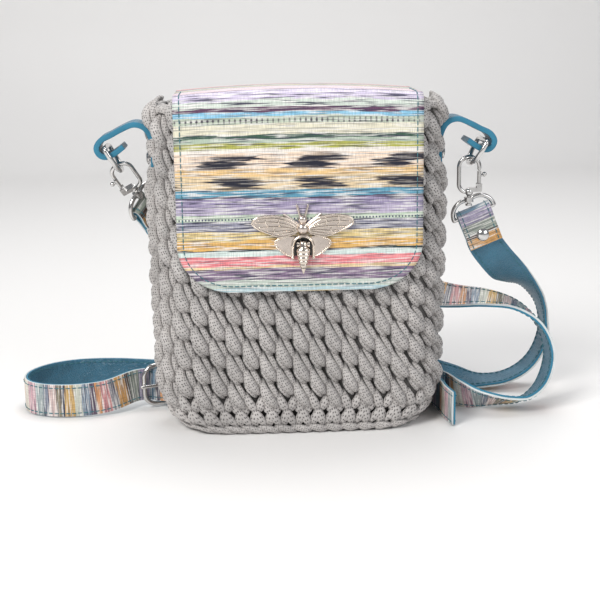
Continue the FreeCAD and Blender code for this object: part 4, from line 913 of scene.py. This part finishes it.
# ---- Side tabs -------------------------------------------
# A thick teal leather strip is screwed to each side, arches outwards and turns round the bar of
# its D-ring. Its cut edges are painted a brighter teal.
TAB_HALF = 0.0100
TAB_THICK = 0.0033
TAB_STEPS = 60
TAB_LINE = [(86.9, 155.5), (86.3, 165.0), (86.8, 175.0), (90.0, 181.8), (95.5, 183.9), (102.0, 181.6),
            (108.5, 178.2), (113.8, 175.6), (116.2, 172.0), (114.4, 168.9), (111.0, 168.9), (107.0, 171.2),
            (103.0, 174.2)]


def tab_mesh(side):
    """The strip bent along its line, with its long cut edges in the second material."""
    run = smooth_run([Vector((x, 0, z)) for x, z in TAB_LINE], TAB_STEPS)

    def build(bm):
        bmesh.ops.create_grid(bm, x_segments=TAB_STEPS, y_segments=6, size=1)
        marks = bm.loops.layers.uv.new("UVMap")
        for face in bm.faces:
            for corner in face.loops:
                corner[marks].uv = (corner.vert.co.y * TAB_HALF, corner.vert.co.x * 0.03)
        for v in bm.verts:
            place = run[round((v.co.x + 1) / 2 * TAB_STEPS)] * MM
            v.co = Vector((side * place.x, v.co.y * TAB_HALF, place.z))
        face_towards(bm, Vector((side, 0, 0)))
        bmesh.ops.solidify(bm, geom=bm.faces, thickness=TAB_THICK)
        rim = [e for e in bm.edges if len(e.link_faces) == 2 and e.calc_face_angle(0) > 1.2]
        bmesh.ops.bevel(bm, geom=rim, offset=0.0004, segments=2, profile=0.5, affect="EDGES", material=-1)
        outward(bm)
        bm.normal_update()
        for face in bm.faces:
            if abs(face.normal.y) > 0.6:
                face.material_index = 1
    return build


for side, name in ((1, "right"), (-1, "left")):
    tab = new_object(f"tab_leather_{name}", tab_mesh(side), teal_leather)
    tab.data.materials.append(teal_edge)
    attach(tab, "bag")
    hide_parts(f"tab_{name}")

# ---- Rings, hooks, screws and buckle ---------------------
# Bright nickel-plated castings and bent wire.


def plated(name, colour, rough, spread, depth=0.00004, metallic=1.0):
    """Polished plating with faint cloudy wear and tiny dents."""
    (material, tree) = shader_material(name)
    cloud = node(tree, "ShaderNodeTexNoise", {"Vector": on_object(tree), "Scale": 420, "Detail": 3})
    reach = node(tree, "ShaderNodeMapRange",
                 {"Value": cloud.outputs["Fac"], "To Min": rough - spread, "To Max": rough + spread})
    surface(tree, {"Base Color": varied(tree, colour, 160, 0.10), "Metallic": metallic,
                   "Roughness": reach.outputs["Result"]}, (cloud.outputs["Fac"], 0.35, depth))
    return material


nickel = plated("nickel", (0.62, 0.61, 0.60), 0.20, 0.08)
bee_silver = plated("bee_silver", (0.80, 0.71, 0.62), 0.20, 0.10, 0.00010)
# The bee's base plate is darker than its raised lines: partly the casting's antique patina, partly painted
# shade in the recesses between the lines.
bee_patina_and_shade = plated("bee_patina_and_shade", (0.66, 0.58, 0.52), 0.28, 0.10, 0.00010)
# The clasp's inset is painted near-black: painted shade for the dark hollow inside the clasp round the top
# of the bee's tongue.
hole_shade_black = plated("hole_shade_black", (0.012, 0.012, 0.014), 0.25, 0.08, metallic=0.0)
stiff_board = hide_material("stiff_board", (0.10, 0.10, 0.10), 1800, 0.8)
nickel_nodes = ["clasp_keeper", "keeper_washer", "bee_back_plate", "bee_rivets", "buckle_frame",
                "buckle_prong", "strap_rivet_right", "strap_rivet_left", "strap_rivet_buckle"]
for name in ("right", "left"):
    nickel_nodes += [f"d_ring_{name}", f"hook_body_{name}", f"hook_gate_{name}", f"gate_pin_{name}",
                     f"swivel_loop_{name}", f"tab_screw_{name}"]
# Below, the clasp's inset gets the near-black painted shade, and the bee's base its patina with painted
# shade.
for part_material, names in ((nickel, nickel_nodes), (bee_patina_and_shade, ["bee_frame"]),
                      (bee_silver, ["tongue_lugs", "tongue_pin"]),
                      (hole_shade_black, ["clasp_inset"]), (stiff_board, ["base_board"])):
    for name in names:
        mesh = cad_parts[name].data
        mesh.materials.clear()
        mesh.materials.append(part_material)

# ---- Bee relief ------------------------------------------
# The casting's raised lines: a rim round each wing, veins fanning from the shoulder, and a beaded
# edge on the lower wings.
BEE = Vector((0.0012, -0.0335, 0.126))
UPPER_RIM = [(-2.0, 1.5), (-9.0, 6.5), (-17.0, 8.2), (-26.0, 7.2), (-29.3, 4.2), (-27.0, 1.2), (-21.0, -1.6),
             (-13.0, -4.2), (-4.5, -2.6)]
LOWER_RIM = [(-5.5, -4.5), (-11.5, -4.8), (-16.0, -7.0), (-15.2, -10.4), (-10.0, -14.8), (-7.0, -16.0)]
VEINS = [[(-3.2, 0.8), (-10.0, 5.0), (-18.0, 6.6), (-25.8, 6.0)],
         [(-3.4, 0.4), (-11.0, 3.2), (-19.0, 4.4), (-27.6, 4.0)],
         [(-3.6, 0.0), (-11.0, 1.2), (-18.0, 1.6), (-25.4, 1.4)],
         [(-3.8, -0.6), (-10.0, -0.8), (-15.5, -1.2), (-20.6, -0.8)],
         [(-4.2, -1.2), (-9.0, -2.2), (-14.6, -3.0)], [(-13.0, 6.9), (-14.0, 4.0), (-12.6, 1.4)],
         [(-20.4, 7.6), (-21.4, 4.6), (-20.0, 1.8)], [(-17.0, 1.6), (-16.4, -0.6), (-17.6, -2.4)]]


def bee_lines(bm):
    """Raised lines in millimetres from the casting's middle, then set in place."""
    ridges = [(UPPER_RIM, 1.9, 0.55), (LOWER_RIM, 1.4, 0.5)] + [(vein, 1.9, 0.55) for vein in VEINS]
    for side in (1, -1):
        for line, lift, thick in ridges:
            points = [(side * -x, -lift, z) for x, z in line]
            radii = [thick * 0.7] + [thick] * (len(points) - 2) + [thick * 0.6]
            tube(bm, points, radii, 8, 6 * len(points), 1.0, 1.15, (0, -1, 0))
        for spot, way in walk([Vector((side * -x, -1.6, z)) for x, z in LOWER_RIM[1:5]], 1.5):
            bead = bmesh.ops.create_icosphere(bm, subdivisions=2, radius=0.72)
            bmesh.ops.translate(bm, verts=bead["verts"], vec=spot)
    arch = [(-6.0, -16.4), (-6.05, -12.0), (-5.9, -9.0), (-4.2, -5.8), (0, -4.1), (4.2, -5.8),
            (5.9, -9.0), (6.05, -12.0), (6.0, -16.4)]
    tube(bm, [(x, -2.4, z) for x, z in arch], [0.8] * 9, 10, 48, 1.0, 1.15, (0, -1, 0))
    for x in (-6.0, 6.0):
        bead = bmesh.ops.create_icosphere(bm, subdivisions=3, radius=1.15)
        bmesh.ops.translate(bm, verts=bead["verts"], vec=(x, -2.2, -16.6))
    angles = [radians(180 + 30 * i) for i in range(7)]
    collar = [(cos(a) * 2.3, -3.0, sin(a) * 1.0 + 3.2) for a in angles]
    tube(bm, collar, [0.3] + [0.45] * 5 + [0.3], 8, 18, 1.0, 1.15, (0, -1, 0))
    bmesh.ops.scale(bm, vec=(MM, MM, MM), verts=bm.verts)
    bmesh.ops.translate(bm, vec=BEE, verts=bm.verts)
    outward(bm)


# Half the abdomen's outline: (radius, height) in millimetres from its pin.
ABDOMEN = [(0, 2.0), (1.6, 1.7), (2.2, 0.8), (2.3, -1.2), (2.6, -1.9), (3.9, -2.6), (4.0, -4.4),
           (3.1, -4.7), (3.8, -5.0), (3.7, -6.7), (2.8, -7.0), (3.4, -7.3), (3.2, -8.9), (2.3, -9.2),
           (2.9, -9.5), (2.6, -11.0), (1.8, -11.3), (2.3, -11.6), (1.9, -13.0), (1.2, -13.3),
           (1.6, -13.6), (1.0, -15.2), (0.3, -17.2), (0, -17.4)]


def abdomen_mesh(bm):
    """The turning tongue: overlapping plates that taper to a point."""
    line = [bm.verts.new((r, 0, z)) for r, z in ABDOMEN]
    edges = [bm.edges.new(pair) for pair in zip(line, line[1:])]
    bmesh.ops.spin(bm, geom=line + edges, cent=(0, 0, 0), axis=(0, 0, 1), dvec=(0, 0, 0), angle=2 * pi,
                   steps=32, use_merge=True, use_duplicate=False)
    bmesh.ops.remove_doubles(bm, verts=bm.verts, dist=1e-4)
    outward(bm)
    bmesh.ops.scale(bm, vec=(0.001, 0.00072, 0.001), verts=bm.verts)
    (low, high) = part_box("tongue_pin")
    bmesh.ops.translate(bm, vec=(Vector(low) + Vector(high)) / 2, verts=bm.verts)


abdomen = new_object("bee_abdomen", abdomen_mesh, bee_silver)
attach(abdomen, "tongue")
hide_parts("bee_tongue")
bee_relief = new_object("bee_relief", bee_lines, bee_silver)
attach(bee_relief, "flap_front")

# ---- Lining and keeper loop ------------------------------
# A grey twill bag is sewn in under the rim; a short leather loop holds the strap's spare end.


def twill():
    """Grey cloth with a fine diagonal wale."""
    (material, tree) = shader_material("lining_twill")
    turned = node(tree, "ShaderNodeMapping",
                  {"Vector": on_object(tree), "Rotation": (radians(35), radians(35), 0)})
    wale = node(tree, "ShaderNodeTexWave",
                {"Vector": turned.outputs["Vector"], "Scale": 420, "Distortion": 0.4},
                wave_type="BANDS", bands_direction="DIAGONAL")
    mix = node(tree, "ShaderNodeMix",
               {"Factor": wale.outputs["Fac"], "A": varied(tree, (0.20, 0.19, 0.19), 60, 0.12),
                "B": (0.13, 0.125, 0.125, 1)}, data_type="RGBA")
    surface(tree, {"Base Color": mix.outputs["Result"], "Roughness": 0.85},
            (wale.outputs["Fac"], 0.4, 0.0002))
    return material


def lining_mesh(bm):
    """A bag just inside the crochet, drawn in a little at its foot."""
    rows = ((0.0112, -0.0120), (0.0116, -0.0082), (0.016, -0.0066), (0.04, -0.0062), (0.09, -0.0060),
            (0.14, -0.0060), (0.184, -0.0058))
    rings = [wall_loop(bm, z, out) for z, out in rows]
    for v in bm.verts:
        if v.co.z <= 0.035:
            v.co.x *= 0.995
    for a, b in zip(rings, rings[1:]):
        bmesh.ops.bridge_loops(bm, edges=a + b)
    bmesh.ops.holes_fill(bm, edges=rings[0], sides=0)
    outward(bm)
    bmesh.ops.solidify(bm, geom=bm.faces, thickness=0.0006)
    outward(bm)


lining = new_object("lining_cloth", lining_mesh, twill())
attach(lining, "bag")
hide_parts("lining_bag")


def keeper_mesh(bm):
    """A rounded-square loop, drawn from the size of its solid."""
    made = bmesh.ops.create_circle(bm, cap_ends=False, segments=48, radius=1)
    (low, high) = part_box("strap_keeper")
    middle = (Vector(low) + Vector(high)) / 2
    (half_y, half_z) = ((high[1] - low[1]) / 2 - 0.0005, (high[2] - low[2]) / 2 - 0.0005)
    for v in made["verts"]:
        (a, b) = (v.co.x, v.co.y)
        power = 1 / (abs(a) ** 6 + abs(b) ** 6) ** (1 / 6)
        v.co = Vector((low[0], middle.y + a * power * half_y, middle.z + b * power * half_z))
    wide = high[0] - low[0]
    for i in range(4):
        edge = [e for e in bm.edges if all(abs(v.co.x - low[0] - wide * i / 4) < 1e-6 for v in e.verts)]
        up = bmesh.ops.extrude_edge_only(bm, edges=edge)
        moved = [g for g in up["geom"] if isinstance(g, bmesh.types.BMVert)]
        bmesh.ops.translate(bm, vec=(wide / 4, 0, 0), verts=moved)
    outward(bm)
    bmesh.ops.solidify(bm, geom=bm.faces, thickness=0.0010)
    outward(bm)


keeper_loop = new_object("keeper_loop", keeper_mesh, teal_leather)
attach(keeper_loop, "keeper")
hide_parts("strap_keeper")
